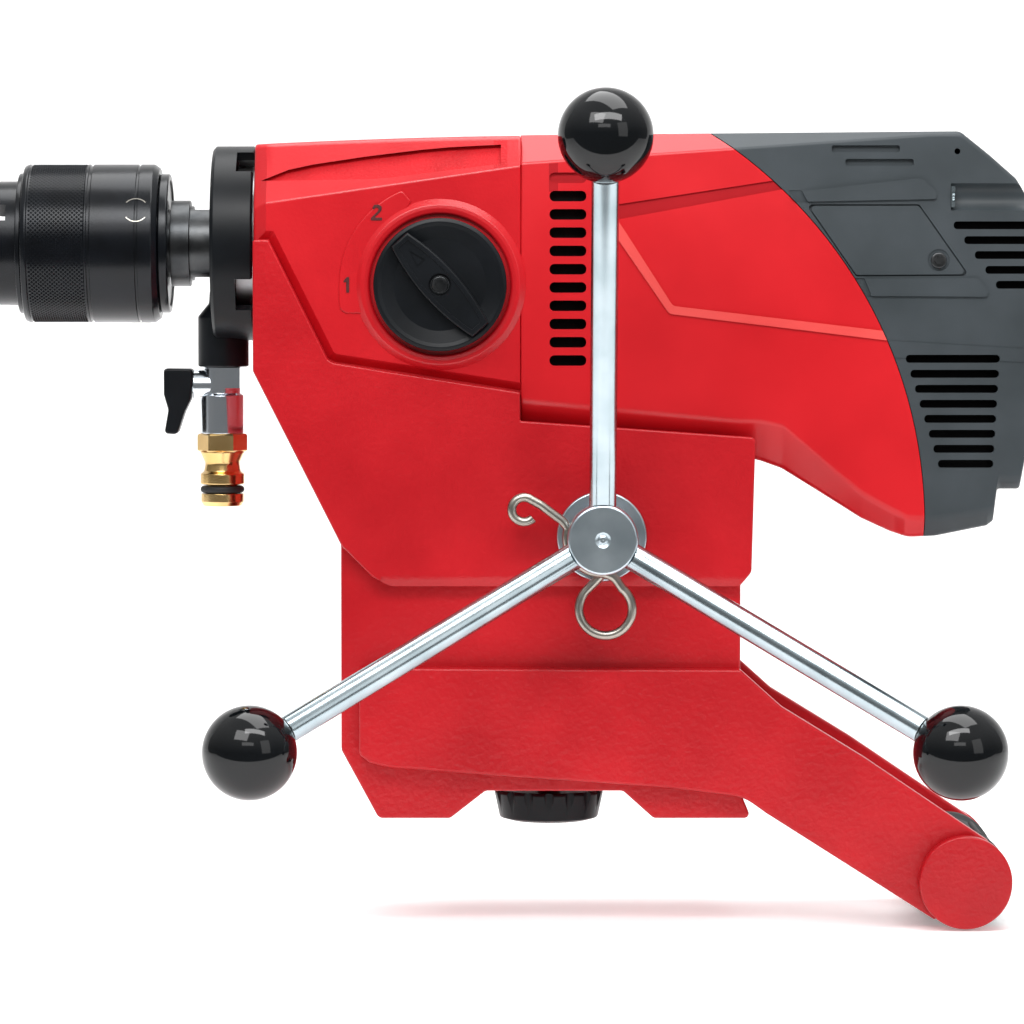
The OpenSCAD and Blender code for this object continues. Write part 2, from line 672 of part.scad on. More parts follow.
module stator_windings() color(copper_brown) on_drive(0) for (s = [-1, 1]) intersection() {
    union() {
        for (z = [-10, 78]) translate([0, 0, z]) tube(36, 25.4, 8);
        for (g = [-1, 1]) rotate(90 + g * 90) rotate(24) for (a = [0, -48]) rotate(a)
            translate([25.4, -4.8, -4]) cube([8.4, 9.6, 84]);
    }
    translate([-50, s > 0 ? 0.5 : -50.5, -20]) cube([100, 50, 120]);
}

module end_bracket() color(casing_black) difference() {
    union() {
        on_drive(138) cylinder(r = 42, h = 4);
        on_drive(138) cylinder(r = 17, h = 10);
        for (s = [-1, 1]) translate([121, s > 0 ? 25 : -40, drive_z - 7]) cube([18, 15, 14]);
        for (i = [0:3]) on_drive(78) rotate(45 + i * 90) translate([39.4, 0, 0]) cylinder(r = 2.4, h = 61);
    }
    on_drive(137) cylinder(r = 13, h = 9);
    on_drive(130) cylinder(r = 6.5, h = 30);
}

module brush_holders() color(brass_yellow) for (s = [0, 1]) mirror([0, s, 0])
    translate([109, 18, drive_z - 5]) difference() {
        cube([12, 22, 10]);
        translate([2, -1, 2]) cube([8, 25, 6]);
    }

module carbon_brushes() color(seal_black) for (s = [0, 1]) mirror([0, s, 0])
    translate([111, 15.4, drive_z - 3]) cube([8, 16, 6]);

module electronics_module() color(casing_black) {
    translate([104, -36, 90]) cube([46, 72, 22]);
    for (y = [-28, -12, 4, 20]) translate([108, y, 112]) cube([38, 8, 12]);
}

module cable_gland() color(casing_black) across(150, 47, 96) difference() {
    union() {
        cylinder(r = 8, h = 3);
        translate([0, 0, 3]) cylinder(r = 12, h = 4, $fn = 6);
        translate([0, 0, 7]) cylinder(r = 9, h = 5);
    }
    translate([0, 0, -1]) cylinder(r = 4.5, h = 20);
}

module switch_bezel() color(casing_black) translate([180, -17, 163]) difference() {
    cube([7.6, 34, 30]);
    translate([-1, 5, 4]) cube([10, 24, 22]);
    across(3.6, 3.8, 15) cylinder(r = 1.5 + running_gap, h = 26.4);
}

module switch_rocker() color(motor_red) {
    translate([183.6, -11.7, 178]) rotate([-90, 0, 0]) linear_extrude(23.4)
        polygon([[-2.5, -9], [3.2, -9], [1.6, 0], [3.2, 9], [-2.5, 9]]);
    across(183.6, -13, 178) cylinder(r = 1.5, h = 26);
}

// ---------- handwheel ----------

module pinion_shaft() color(bare_steel) difference() {
    union() {
        across(0, -72, wheel_z) cylinder(r = 10, h = 72 + plate_y);
        across(0, plate_y - 0.1, wheel_z) cylinder(r = 9.5, h = 7.1);
        across(0, -12, wheel_z) linear_extrude(24) for (i = [0:feed_teeth - 1]) rotate(i * 360 / feed_teeth)
            polygon([[9, -3.1], [12, -3], [15, -1.9], [17.4, -0.9],
                [17.4, 0.9], [15, 1.9], [12, 3], [9, 3.1]]);
    }
    translate([0, clip_y, wheel_z - 30]) cylinder(r = clip_r + 0.1, h = 60);
}

module handwheel_hub() color(plated_steel) across(0, -86, wheel_z) difference() {
    union() {
        chamfered(15.2, 16, 1);
        translate([0, 0, 16]) cylinder(r = 13, h = 12);
        translate([0, 0, 27.9]) cylinder(r = 19.5, h = 3.9);
    }
    translate([0, 0, 13]) cylinder(r = 10, h = 40);
    translate([0, -40, clip_y + 86]) rotate([-90, 0, 0]) cylinder(r = clip_r + 0.1, h = 80);
}

function spoke_end(a) = [ball_circle_r * cos(a), ball_y, wheel_z + ball_circle_r * sin(a)];
function spoke_root(a) = [12 * cos(a), -79, wheel_z + 12 * sin(a)];

module spokes() color(plated_steel) difference() {
    for (a = [90, 210, 330]) wire_leg(spoke_root(a), spoke_end(a), spoke_r);
    across(0, -86, wheel_z) cylinder(r = 15.2, h = 16);
    for (a = [90, 210, 330]) translate(spoke_end(a)) sphere(r = ball_r);
}

module ball_knobs() color(casing_black) for (a = [90, 210, 330]) translate(spoke_end(a)) sphere(r = ball_r);

// Spring clip: a straight leg through the hub and its shaft, a loop that leads the wire past
// that leg, and an outer leg that bends round the hub and ends in a small hook. The short
// links between the bends are drawn a little thinner.
module retaining_clip() color(bare_steel) translate([0, clip_y, wheel_z]) {
    wire_leg([0, 0, 20], [0, 0, -17], clip_r);
    wire_leg([0, 0, -16], [-7, 0, -23.2], clip_r - link_step);
    translate([-6.63, 0, -22.87]) rotate(clip_lean) wire_arc([8.13, 0, -8.13], 11.5, 135, 270, clip_r);
    translate([0, clip_pass, 0]) {
        wire_leg([9.5, 0, -23.2], [0, 0, -15.3], clip_r - link_step);
        wire_arc([0, 0, 0], 15.3, 165, 105, clip_r);
        wire_leg([-14.5, 0, 3.8], [-30.6, 0, 16.4], clip_r - link_step);
        wire_arc([-33.8, 0, 12.2], 5.3, 49, 266, clip_r);
    }
}

carriage_frame();
handle_bar();
handle_grip();
handle_end_caps();
roller_axles();
guide_roller(0);  // guide_roller_1
guide_roller(1);  // guide_roller_2
guide_roller(2);  // guide_roller_3
guide_roller(3);  // guide_roller_4
lock_knob();
clamp_shoe();
gear_housing();
bearing_cap();
bearing_flange();
ball_bearings();
shift_rod();
shift_fork();
selector_knob();
selector_shaft();
selector_screw();
spindle();
low_speed_gear();
high_speed_gear();
dog_sleeve();
countershaft();
first_stage_gear();
clutch_springs();
armature_shaft();
armature_core();
armature_windings();
commutator();
cooling_fan();
chuck_body();
chuck_rings();
chuck_pawls();
chuck_sleeve();
water_ring();
water_seals();
valve_body();
valve_lever();
valve_ball();
hose_nipple();
motor_housing();
rear_cover();
brush_covers();
stator_core();
stator_windings();
end_bracket();
brush_holders();
carbon_brushes();
electronics_module();
cable_gland();
switch_bezel();
switch_rocker();
assembly_screws();
pinion_shaft();
handwheel_hub();
spokes();
ball_knobs();
retaining_clip();
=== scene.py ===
"""Finished looks of the two-speed core drill in its rail carriage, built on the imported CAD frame.

X runs along the spindle with the chuck at -X, the handwheel is at -Y and Z is up.
Sizes in the builders below are in millimetres and are turned into metres when a mesh is made.
"""

import json
from math import atan2, cos, degrees, pi, radians, sin, sqrt, tan

import bmesh
import bpy
from mathutils import Euler, Matrix, Vector


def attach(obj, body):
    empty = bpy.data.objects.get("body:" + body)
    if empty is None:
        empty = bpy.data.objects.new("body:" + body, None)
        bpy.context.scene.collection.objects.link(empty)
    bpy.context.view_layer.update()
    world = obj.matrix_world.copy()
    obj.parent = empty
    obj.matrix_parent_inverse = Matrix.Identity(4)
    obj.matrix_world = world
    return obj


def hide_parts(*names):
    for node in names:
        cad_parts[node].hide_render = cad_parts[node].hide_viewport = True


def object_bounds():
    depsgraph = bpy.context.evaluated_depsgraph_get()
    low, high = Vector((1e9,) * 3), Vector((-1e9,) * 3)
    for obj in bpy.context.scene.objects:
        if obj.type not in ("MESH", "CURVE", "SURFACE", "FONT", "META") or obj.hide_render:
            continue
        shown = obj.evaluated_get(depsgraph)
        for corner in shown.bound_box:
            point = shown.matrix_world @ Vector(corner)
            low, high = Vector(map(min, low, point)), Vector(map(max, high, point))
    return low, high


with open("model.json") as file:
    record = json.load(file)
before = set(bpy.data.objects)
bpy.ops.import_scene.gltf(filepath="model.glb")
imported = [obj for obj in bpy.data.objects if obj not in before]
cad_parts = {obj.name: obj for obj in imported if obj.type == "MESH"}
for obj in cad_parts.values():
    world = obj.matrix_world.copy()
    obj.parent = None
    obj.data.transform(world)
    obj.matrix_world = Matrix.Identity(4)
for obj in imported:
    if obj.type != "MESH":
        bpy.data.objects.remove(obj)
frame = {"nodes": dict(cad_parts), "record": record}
cad_low, cad_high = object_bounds()

MM = 0.001
DRIVE_Z = 195.0
WHEEL_Z = 68.0
KNOB_X, KNOB_Z = -70.2, 177.2
VALVE_X, BALL_Z = -167.8, 132.2
HANDLE_X, HANDLE_Z = 158.4, -82.7
LOCK_X = -22.6
FRONT_X, SPLIT_X, REAR_X = -151.5, -35.2, 188.2
WALL = 3.0

DRIVE = (0, 0, DRIVE_Z)
COUNTER = (0, 0, 153.0)
WHEEL = (0, 0, WHEEL_Z)
KNOB = (KNOB_X, 0, KNOB_Z)
VALVE = (VALVE_X, 0, 0)
VALVE_BALL = (VALVE_X, 0, BALL_Z)
HANDLE = (HANDLE_X, 0, HANDLE_Z)
LOCK = (LOCK_X, 0, 0)
PANEL_SCREW = (146.3, 0, 187.7)
TUNNEL = (0, -50.2, 215.3)
ORIGIN = (0, 0, 0)
FIXED = "drill_and_carriage"


# ---------- outlines ----------

def rounded(corners, radius=0.0, steps=4, closed=True):
    """Rounds an outline's corners. A corner is (a, b) or (a, b, its own radius)."""
    count = len(corners)
    result = []
    for i, corner in enumerate(corners):
        here = Vector(corner[:2])
        reach = corner[2] if len(corner) > 2 else radius
        at_end = not closed and i in (0, count - 1)
        if reach <= 0 or at_end:
            result.append((here.x, here.y))
            continue
        before = Vector(corners[i - 1][:2]) - here
        after = Vector(corners[(i + 1) % count][:2]) - here
        room = 0.46 * min(before.length, after.length)
        before.normalize()
        after.normalize()
        half = 0.5 * before.angle(after)
        if half > radians(89.5):
            result += [(here.x, here.y)] * (steps + 1)
            continue
        back = min(room, reach / tan(half))
        size = back * tan(half)
        middle = here + (before + after).normalized() * (size / sin(half))
        first = here + before * back - middle
        last = here + after * back - middle
        turn = first.angle_signed(last)
        for k in range(steps + 1):
            a = -turn * k / steps
            x = first.x * cos(a) - first.y * sin(a)
            y = first.x * sin(a) + first.y * cos(a)
            result.append((middle.x + x, middle.y + y))
    return result


def on_circle(r, angles, u=0.0, v=0.0):
    """Points at angles in degrees on a circle about (u, v)."""
    return [(u + r * cos(radians(a)), v + r * sin(radians(a))) for a in angles]


HEX = range(0, 360, 60)


def height_at(line, x):
    """Height of an open line (points with rising x) at x."""
    if x <= line[0][0]:
        return line[0][1]
    for (x0, z0), (x1, z1) in zip(line, line[1:]):
        if x <= x1:
            share = (x - x0) / (x1 - x0) if x1 > x0 else 1.0
            return z0 + share * (z1 - z0)
    return line[-1][1]


def offset(outline, d):
    """Moves every edge of an outline outwards by d."""
    count = len(outline)
    area = sum(outline[i - 1][0] * outline[i][1] - outline[i][0] * outline[i - 1][1] for i in range(count))
    side = 1 if area > 0 else -1
    result = []
    for i in range(count):
        here = Vector(outline[i][:2])
        u = (here - Vector(outline[i - 1][:2])).normalized()
        v = (Vector(outline[(i + 1) % count][:2]) - here).normalized()
        m = Vector((u.y, -u.x)) * side
        k = Vector((v.y, -v.x)) * side
        moved = here + d * (m + k) / max(0.25, 1 + m.dot(k))
        result.append((moved.x, moved.y) + tuple(outline[i][2:]))
    return result


# ---------- meshes ----------

def tidy_mesh(mesh, turn_out=False):
    """Merges doubled points. A single closed shell can also have its faces turned outwards."""
    work = bmesh.new()
    work.from_mesh(mesh)
    bmesh.ops.remove_doubles(work, verts=work.verts, dist=2e-6)
    bmesh.ops.dissolve_degenerate(work, edges=work.edges, dist=1e-7)
    loose = [v for v in work.verts if not v.link_faces]
    bmesh.ops.delete(work, geom=loose, context="VERTS")
    if turn_out:
        bmesh.ops.recalc_face_normals(work, faces=work.faces)
    work.to_mesh(mesh)
    work.free()
    mesh.update()


def placed(name, data):
    """A new object in the scene."""
    piece = bpy.data.objects.new(name, data)
    bpy.context.scene.collection.objects.link(piece)
    return piece


def solid(name, points, faces):
    """A closed mesh from points in millimetres."""
    mesh = bpy.data.meshes.new(name)
    mesh.from_pydata([Vector(p) * MM for p in points], [], faces)
    tidy_mesh(mesh, turn_out=True)
    return placed(name, mesh)


def stack(name, loops):
    """Joins loops of equal length one to the next and closes both ends."""
    count = len(loops[0])
    points = [p for loop in loops for p in loop]
    faces = [list(range(count))[::-1]]
    for i in range(len(loops) - 1):
        low, high = i * count, (i + 1) * count
        for k in range(count):
            n = (k + 1) % count
            faces.append([low + k, low + n, high + n, high + k])
    faces.append(list(range(len(points) - count, len(points))))
    return solid(name, points, faces)


def side_plate(name, corners, y0, y1, edge=0.0, steps=3):
    """Corners in X and Z, with their own radii, drawn out along Y with both rims rounded by edge."""
    rims = [(0.0, 0.0)]
    if edge:
        angles = [pi / 2 * k / steps for k in range(steps + 1)]
        rims = [(edge * (1 - sin(a)), edge * (1 - cos(a))) for a in angles]
    loops = []
    for inset, deep in rims:
        loops.append([(x, y0 + deep, z) for x, z in rounded(offset(corners, -inset))])
    for inset, deep in rims[::-1]:
        loops.append([(x, y1 - deep, z) for x, z in rounded(offset(corners, -inset))])
    return stack(name, loops)


def tapered_plate(name, corners, y0, y1, grow):
    """Corners at y0 that have moved outwards by grow when they reach y1."""
    return stack(name, [[(x, y0, z) for x, z in rounded(corners)],
                        [(x, y1, z) for x, z in rounded(offset(corners, grow))]])


def block(name, low, high):
    """A plain box, used for cutting."""
    (x0, y0, z0), (x1, y1, z1) = low, high
    return stack(name, [[(x0, y0, z0), (x1, y0, z0), (x1, y1, z0), (x0, y1, z0)],
                        [(x0, y0, z1), (x1, y0, z1), (x1, y1, z1), (x0, y1, z1)]])


def turned(name, profile, axis, centre, sides=96):
    """A profile of (radius, distance along the axis) turned about X, Y or Z through centre."""
    points, faces, rings = [], [], []
    for r, along in profile:
        ring = []
        for k in range(1 if r < 1e-6 else sides):
            a = 2 * pi * k / sides
            u, v = r * cos(a), r * sin(a)
            spot = {"X": (along, u, v), "Y": (v, along, u), "Z": (u, v, along)}[axis]
            ring.append(len(points))
            points.append(tuple(c + s for c, s in zip(centre, spot)))
        rings.append(ring)
    closed = profile[0] == profile[-1]
    for low, high in zip(rings, rings[1:]):
        for k in range(sides):
            n = (k + 1) % sides
            quad = [low[k % len(low)], low[n % len(low)], high[n % len(high)], high[k % len(high)]]
            face = [p for i, p in enumerate(quad) if p not in quad[:i]]
            if len(face) > 2:
                faces.append(face)
    if not closed:
        for ring in (rings[0], rings[-1]):
            if len(ring) > 1:
                faces.append(ring)
    return solid(name, points, faces)


def lathe(name, corners, axis, centre, radius=0.4, sides=96, steps=3):
    """A turned piece whose closed profile of (radius, along) has its corners eased."""
    profile = rounded(corners, radius, steps)
    return turned(name, profile + [profile[0]], axis, centre, sides)


def rod(name, r, start, length, axis, centre, edge=0.4, sides=64):
    """A round bar from start along the axis, with eased rims."""
    end = start + length
    arc = [(r - edge + edge * sin(a), edge - edge * cos(a)) for a in (0, 0.52, 1.05, 1.571)]
    profile = [(0.0, start)] + [(p, start + q) for p, q in arc] + [(p, end - q) for p, q in arc[::-1]]
    return turned(name, profile + [(0.0, end)], axis, centre, sides)


def ball(name, r, centre, rings=48, sides=64):
    """A sphere of quads with closed poles."""
    profile = [(r * sin(pi * k / rings), -r * cos(pi * k / rings)) for k in range(rings + 1)]
    profile[0] = (0.0, -r)
    profile[-1] = (0.0, r)
    return turned(name, profile, "Y", centre, sides)


def joined(name, pieces):
    """One object made of several that don't touch, or that may overlap as cutters."""
    work = bmesh.new()
    for piece in pieces:
        work.from_mesh(piece.data)
        bpy.data.objects.remove(piece)
    mesh = bpy.data.meshes.new(name)
    work.to_mesh(mesh)
    work.free()
    return placed(name, mesh)


def moved(piece, matrix):
    """Moves a piece's points, so that its object stays at the origin."""
    piece.data.transform(matrix)
    if matrix.determinant() < 0:
        piece.data.flip_normals()
    return piece


def shifted(piece, step):
    """Moves a piece's points by millimetres."""
    return moved(piece, Matrix.Translation(Vector(step) * MM))


def turned_about(piece, axis, angle, centre):
    """Turns a piece's points about an axis through centre."""
    spot = Vector(centre) * MM
    turn = Matrix.Rotation(radians(angle), 4, axis)
    return moved(piece, Matrix.Translation(spot) @ turn @ Matrix.Translation(-spot))


def copy_of(piece, name=None):
    """A separate copy of a piece."""
    return placed(name or piece.name + "_copy", piece.data.copy())


def both_sides(piece):
    """A piece together with its mirror image across the middle plane."""
    other = moved(copy_of(piece), Matrix.Scale(-1, 4, (0, 1, 0)))
    return joined(piece.name + "_pair", [piece, other])


def baked(piece):
    """Replaces a piece's mesh by what its modifiers make of it."""
    graph = bpy.context.evaluated_depsgraph_get()
    result = piece.evaluated_get(graph)
    mesh = bpy.data.meshes.new_from_object(result, preserve_all_data_layers=True, depsgraph=graph)
    piece.modifiers.clear()
    piece.data = mesh
    return piece


def combine(piece, other, how, overlapping=False):
    """Cuts, adds or intersects another piece, which is used up."""
    step = piece.modifiers.new("combine", "BOOLEAN")
    step.operation = how
    step.solver = "EXACT"
    step.use_self = overlapping
    step.object = other
    baked(piece)
    bpy.data.objects.remove(other)
    tidy_mesh(piece.data)
    return piece


def cut(piece, *others):
    """Cuts several pieces away."""
    tool = others[0] if len(others) == 1 else joined(piece.name + "_tool", others)
    return combine(piece, tool, "DIFFERENCE", overlapping=len(others) > 1)


def add(piece, *others):
    """Melts several pieces into one."""
    for other in others:
        combine(piece, other, "UNION")
    return piece


def common(piece, other):
    """Keeps what two pieces share."""
    return combine(piece, other, "INTERSECT")


def eased(piece, width, steps=2, angle=35):
    """Rounds every sharp edge of a piece by width."""
    step = piece.modifiers.new("eased", "BEVEL")
    step.width = width * MM
    step.segments = steps
    step.limit_method = "ANGLE"
    step.angle_limit = radians(angle)
    baked(piece)
    tidy_mesh(piece.data)
    return piece


# ---------- geometry nodes ----------

def node_tree(name, inputs):
    """An empty geometry tree with named inputs, ready for its nodes."""
    tree = bpy.data.node_groups.new(name, "GeometryNodeTree")
    tree.is_modifier = True
    for label, kind, in_out in inputs:
        tree.interface.new_socket(label, in_out=in_out, socket_type=kind)
    return tree, tree.nodes.new("NodeGroupInput"), tree.nodes.new("NodeGroupOutput")


def node(tree, kind, **inputs):
    """A new node with some of its inputs set; an underscore in a name stands for a space."""
    made = tree.nodes.new(kind)
    for label, value in inputs.items():
        made.inputs[label.replace("_", " ")].default_value = value
    return made


def join_up(tree, *links):
    """Links nodes, each link being from, its output, to, its input."""
    for start, output, end, socket in links:
        tree.links.new(start.outputs[output], end.inputs[socket])


def copies_tree():
    """Tree: copies of a source, each one stepped and turned on from the one before."""
    tree, given, out = node_tree("stepped_copies", [
        ("Geometry", "NodeSocketGeometry", "INPUT"), ("Source", "NodeSocketObject", "INPUT"),
        ("Count", "NodeSocketInt", "INPUT"), ("Step", "NodeSocketVector", "INPUT"),
        ("Turn", "NodeSocketVector", "INPUT"), ("Material", "NodeSocketMaterial", "INPUT"),
        ("Geometry", "NodeSocketGeometry", "OUTPUT")])
    info = tree.nodes.new("GeometryNodeObjectInfo")
    info.transform_space = "ORIGINAL"
    index = tree.nodes.new("GeometryNodeInputIndex")
    spots = tree.nodes.new("GeometryNodePoints")
    place = tree.nodes.new("ShaderNodeVectorMath")
    place.operation = "SCALE"
    turn = tree.nodes.new("ShaderNodeVectorMath")
    turn.operation = "SCALE"
    lay = tree.nodes.new("GeometryNodeInstanceOnPoints")
    real = tree.nodes.new("GeometryNodeRealizeInstances")
    paint = tree.nodes.new("GeometryNodeSetMaterial")
    join_up(tree, (given, "Source", info, "Object"), (given, "Step", place, "Vector"),
            (index, "Index", place, "Scale"), (given, "Turn", turn, "Vector"),
            (index, "Index", turn, "Scale"), (given, "Count", spots, "Count"),
            (place, "Vector", spots, "Position"), (spots, "Points", lay, "Points"),
            (info, "Geometry", lay, "Instance"), (turn, "Vector", lay, "Rotation"),
            (lay, "Instances", real, "Geometry"), (real, "Geometry", paint, "Geometry"),
            (given, "Material", paint, "Material"), (paint, "Geometry", out, "Geometry"))
    return tree


def wire_tree():
    """Tree: a round wire laid along the edges it is given."""
    tree, given, out = node_tree("wire_on_path", [
        ("Geometry", "NodeSocketGeometry", "INPUT"), ("Radius", "NodeSocketFloat", "INPUT"),
        ("Sides", "NodeSocketInt", "INPUT"), ("Material", "NodeSocketMaterial", "INPUT"),
        ("Geometry", "NodeSocketGeometry", "OUTPUT")])
    path = tree.nodes.new("GeometryNodeMeshToCurve")
    ring = tree.nodes.new("GeometryNodeCurvePrimitiveCircle")
    sweep = tree.nodes.new("GeometryNodeCurveToMesh")
    real = tree.nodes.new("GeometryNodeRealizeInstances")
    paint = tree.nodes.new("GeometryNodeSetMaterial")
    sweep.inputs["Fill Caps"].default_value = True
    join_up(tree, (given, "Geometry", path, "Mesh"), (given, "Sides", ring, "Resolution"),
            (given, "Radius", ring, "Radius"), (path, "Curve", sweep, "Curve"),
            (ring, "Curve", sweep, "Profile Curve"), (sweep, "Mesh", real, "Geometry"),
            (real, "Geometry", paint, "Geometry"), (given, "Material", paint, "Material"),
            (paint, "Geometry", out, "Geometry"))
    return tree


COPIES = copies_tree()
WIRE = wire_tree()


def run_tree(holder, tree, values):
    """Runs a tree on a holder object with the named values and keeps the plain mesh."""
    step = holder.modifiers.new(tree.name, "NODES")
    sockets = {s.name: s.identifier for s in tree.interface.items_tree if s.in_out == "INPUT"}
    step.node_group = tree
    for label, value in values.items():
        step[sockets[label]] = value
    holder.update_tag()
    bpy.context.view_layer.update()
    baked(holder)
    tidy_mesh(holder.data)
    return holder


def repeated(source, count, step=(0, 0, 0), turn=(0, 0, 0), about=(0, 0, 0), material=None):
    """Copies of a source, stepped by millimetres or turned by degrees about a point."""
    name = source.name + "_row"
    shifted(source, -Vector(about))
    holder = placed(name, bpy.data.meshes.new(name))
    run_tree(holder, COPIES, {
        "Source": source, "Count": count, "Step": tuple(Vector(step) * MM),
        "Turn": tuple(radians(t) for t in turn), "Material": material})
    bpy.data.objects.remove(source)
    return shifted(holder, about)


def wire(name, points, r, material=None, sides=20):
    """A round wire through points in millimetres."""
    mesh = bpy.data.meshes.new(name)
    mesh.from_pydata([Vector(p) * MM for p in points], [(i, i + 1) for i in range(len(points) - 1)], [])
    return run_tree(placed(name, mesh), WIRE, {"Radius": r * MM, "Sides": sides, "Material": material})


def bent_path(corners, radius, steps=8):
    """Points through corners in space, each bend eased to radius."""
    points = [Vector(corners[0])]
    for before, here, after in zip(corners, corners[1:], corners[2:]):
        here = Vector(here)
        u = Vector(before) - here
        v = Vector(after) - here
        half = 0.5 * u.angle(v)
        back = min(0.48 * min(u.length, v.length), radius / max(1e-3, tan(half)))
        u.normalize()
        v.normalize()
        start, end = here + u * back, here + v * back
        for k in range(steps + 1):
            t = k / steps
            points.append((1 - t) ** 2 * start + 2 * t * (1 - t) * here + t * t * end)
    points.append(Vector(corners[-1]))
    return points


# ---------- materials ----------

def tone(r, g, b):
    """A screen colour of 0 to 255 as linear light."""
    linear = [c / 255 / 12.92 if c <= 10 else ((c / 255 + 0.055) / 1.055) ** 2.4 for c in (r, g, b)]
    return tuple(linear) + (1.0,)


def surface(name, dark, light, rough, spread=0.05, patch=40, grain=900, bump=0.0, depth=0.1,
            metal=0, shine=0.5, lines=None, centre=ORIGIN, pitch=0.6):
    """A finish: two tones drifting in patches, roughness that varies, and a fine relief.

    lines is "X", "Y" or "Z" for marks left by turning about that axis, with pitch in mm.
    """
    paint = bpy.data.materials.new(name)
    paint.use_nodes = True
    tree = paint.node_tree
    shader = tree.nodes["Principled BSDF"]
    place = node(tree, "ShaderNodeTexCoord")
    shift = node(tree, "ShaderNodeMapping", Location=[-c * MM for c in centre])
    drift = node(tree, "ShaderNodeTexNoise", Scale=patch, Detail=3)
    ramp = node(tree, "ShaderNodeValToRGB")
    for step, at, colour in zip(ramp.color_ramp.elements, (0.3, 0.7), (dark, light)):
        step.position = at
        step.color = tone(*colour)
    speck = node(tree, "ShaderNodeTexNoise", Scale=grain, Detail=2)
    worn = node(tree, "ShaderNodeMapRange", To_Min=rough - spread, To_Max=rough + spread)
    join_up(tree, (place, "Object", shift, "Vector"), (shift, "Vector", drift, "Vector"),
            (drift, "Fac", ramp, "Fac"), (ramp, "Color", shader, "Base Color"),
            (shift, "Vector", speck, "Vector"), (drift, "Fac", worn, "Value"),
            (worn, "Result", shader, "Roughness"))
    shader.inputs["Metallic"].default_value = metal
    shader.inputs["Specular IOR Level"].default_value = shine
    height = speck
    if lines:
        height = node(tree, "ShaderNodeTexWave", Scale=0.3142 / (pitch * MM), Distortion=0.6, Detail=2)
        height.wave_type = "RINGS"
        height.rings_direction = lines
        join_up(tree, (shift, "Vector", height, "Vector"))
    if bump:
        relief = node(tree, "ShaderNodeBump", Strength=bump, Distance=depth * MM)
        join_up(tree, (height, "Fac", relief, "Height"), (relief, "Normal", shader, "Normal"))
    return paint


CAST_RED = surface("cast_red_enamel", (170, 14, 24), (186, 19, 29), 0.33, 0.06, 30, 420, 0.55, 0.45,
                   shine=0.35)
HOUSING_RED = surface("housing_red_enamel", (184, 14, 25), (198, 20, 30), 0.30, 0.05, 30, 700, 0.28, 0.25,
                      shine=0.45)
# Scoop floor: the rough textured enamel is real; its darker red is painted shade in the recess.
SCOOP_TEXTURE_AND_SHADE_RED = surface("textured_red_enamel", (176, 12, 22), (198, 22, 32), 0.55, 0.08, 60, 900, 0.9, 0.4,
                    shine=0.2)
# Painted shade: darker red on the motor's stepped band, which faces down, and on the floor of its blind slot.
SHADED_STEP_RED = surface("deep_red_stripe", (156, 10, 20), (168, 13, 24), 0.5, 0.04, 25, 1500, 0.08, shine=0.2)
# Painted highlight: pale red on the raised bead along the motor casing, standing for the light it catches
# from above.
BEAD_HIGHLIGHT_RED = surface("pale_red_bead", (214, 66, 64), (224, 78, 74), 0.34, 0.04, 25, 1500, 0.08)
# Painted shade: near-black sheets set inside the motor behind the vents, standing for the shade within.
VENT_SHADE_BLACK = surface("dark_air_screen", (8, 8, 9), (14, 14, 15), 0.8, 0.05, 60, 1500, 0.4, 0.3, shine=0.1)
PLASTIC_RED = surface("moulded_red_plastic", (190, 15, 25), (202, 20, 30), 0.32, 0.04, 25, 1500, 0.08,
                      shine=0.45)
PLASTIC_BLACK = surface("moulded_black_plastic", (52, 58, 61), (62, 68, 72), 0.44, 0.05, 35, 1800, 0.14,
                        shine=0.3)
KNOB_BLACK = surface("soft_black_plastic", (11, 14, 17), (17, 20, 24), 0.36, 0.05, 50, 1500, 0.15, shine=0.2)
GLOSS_BLACK = surface("polished_black_ball", (3, 5, 7), (7, 10, 13), 0.07, 0.02, 20, 400, 0.02, shine=0.4)
RUBBER = surface("ribbed_rubber", (16, 17, 18), (28, 30, 31), 0.62, 0.08, 60, 1400, 0.3, 0.15)
CHROME = surface("bright_plated_bar", (160, 175, 181), (184, 197, 203), 0.2, 0.04, 60, 900, 0.03, 0.05,
                 metal=1)
SILVER = surface("polished_plate", (206, 214, 222), (226, 232, 238), 0.16, 0.04, 60, 900, 0.03, 0.05, metal=1)
NICKEL = surface("dull_nickel_wire", (150, 146, 138), (182, 178, 168), 0.3, 0.06, 80, 900, 0.1, metal=1)
TURNED = surface("turned_plated_face", (172, 186, 194), (196, 208, 214), 0.3, 0.05, 60, 900, 0.2, 0.04,
                 metal=1, lines="Y", centre=WHEEL)
STEEL = surface("ground_steel", (118, 122, 126), (150, 154, 158), 0.3, 0.06, 70, 900, 0.12, metal=1)
BLUED = surface("blued_chuck_steel", (7, 10, 14), (15, 19, 25), 0.24, 0.06, 60, 700, 0.1, metal=0.3,
                shine=0.4)
SPINDLE_DARK = surface("oiled_spindle_steel", (52, 54, 56), (84, 85, 86), 0.32, 0.08, 90, 900, 0.2, metal=1)
BRASS = surface("turned_brass", (218, 180, 116), (242, 208, 148), 0.22, 0.05, 60, 900, 0.12, 0.08, metal=1)
ALUMINIUM = surface("cast_aluminium", (158, 160, 162), (182, 184, 186), 0.42, 0.08, 50, 800, 0.3, 0.2,
                    metal=1)
COPPER = surface("enamelled_copper", (150, 74, 34), (190, 104, 52), 0.32, 0.08, 120, 1600, 0.3, 0.2, metal=1)
IRON = surface("laminated_iron", (58, 60, 63), (84, 86, 90), 0.45, 0.08, 90, 1200, 0.3, 0.15, metal=1)
CARBON = surface("pressed_carbon", (22, 22, 23), (36, 36, 37), 0.6, 0.08, 90, 1600, 0.3, 0.15)
PRINT_DARK = surface("dark_raised_mark", (58, 12, 14), (78, 20, 20), 0.5, 0.05, 90, 1600, 0.2)

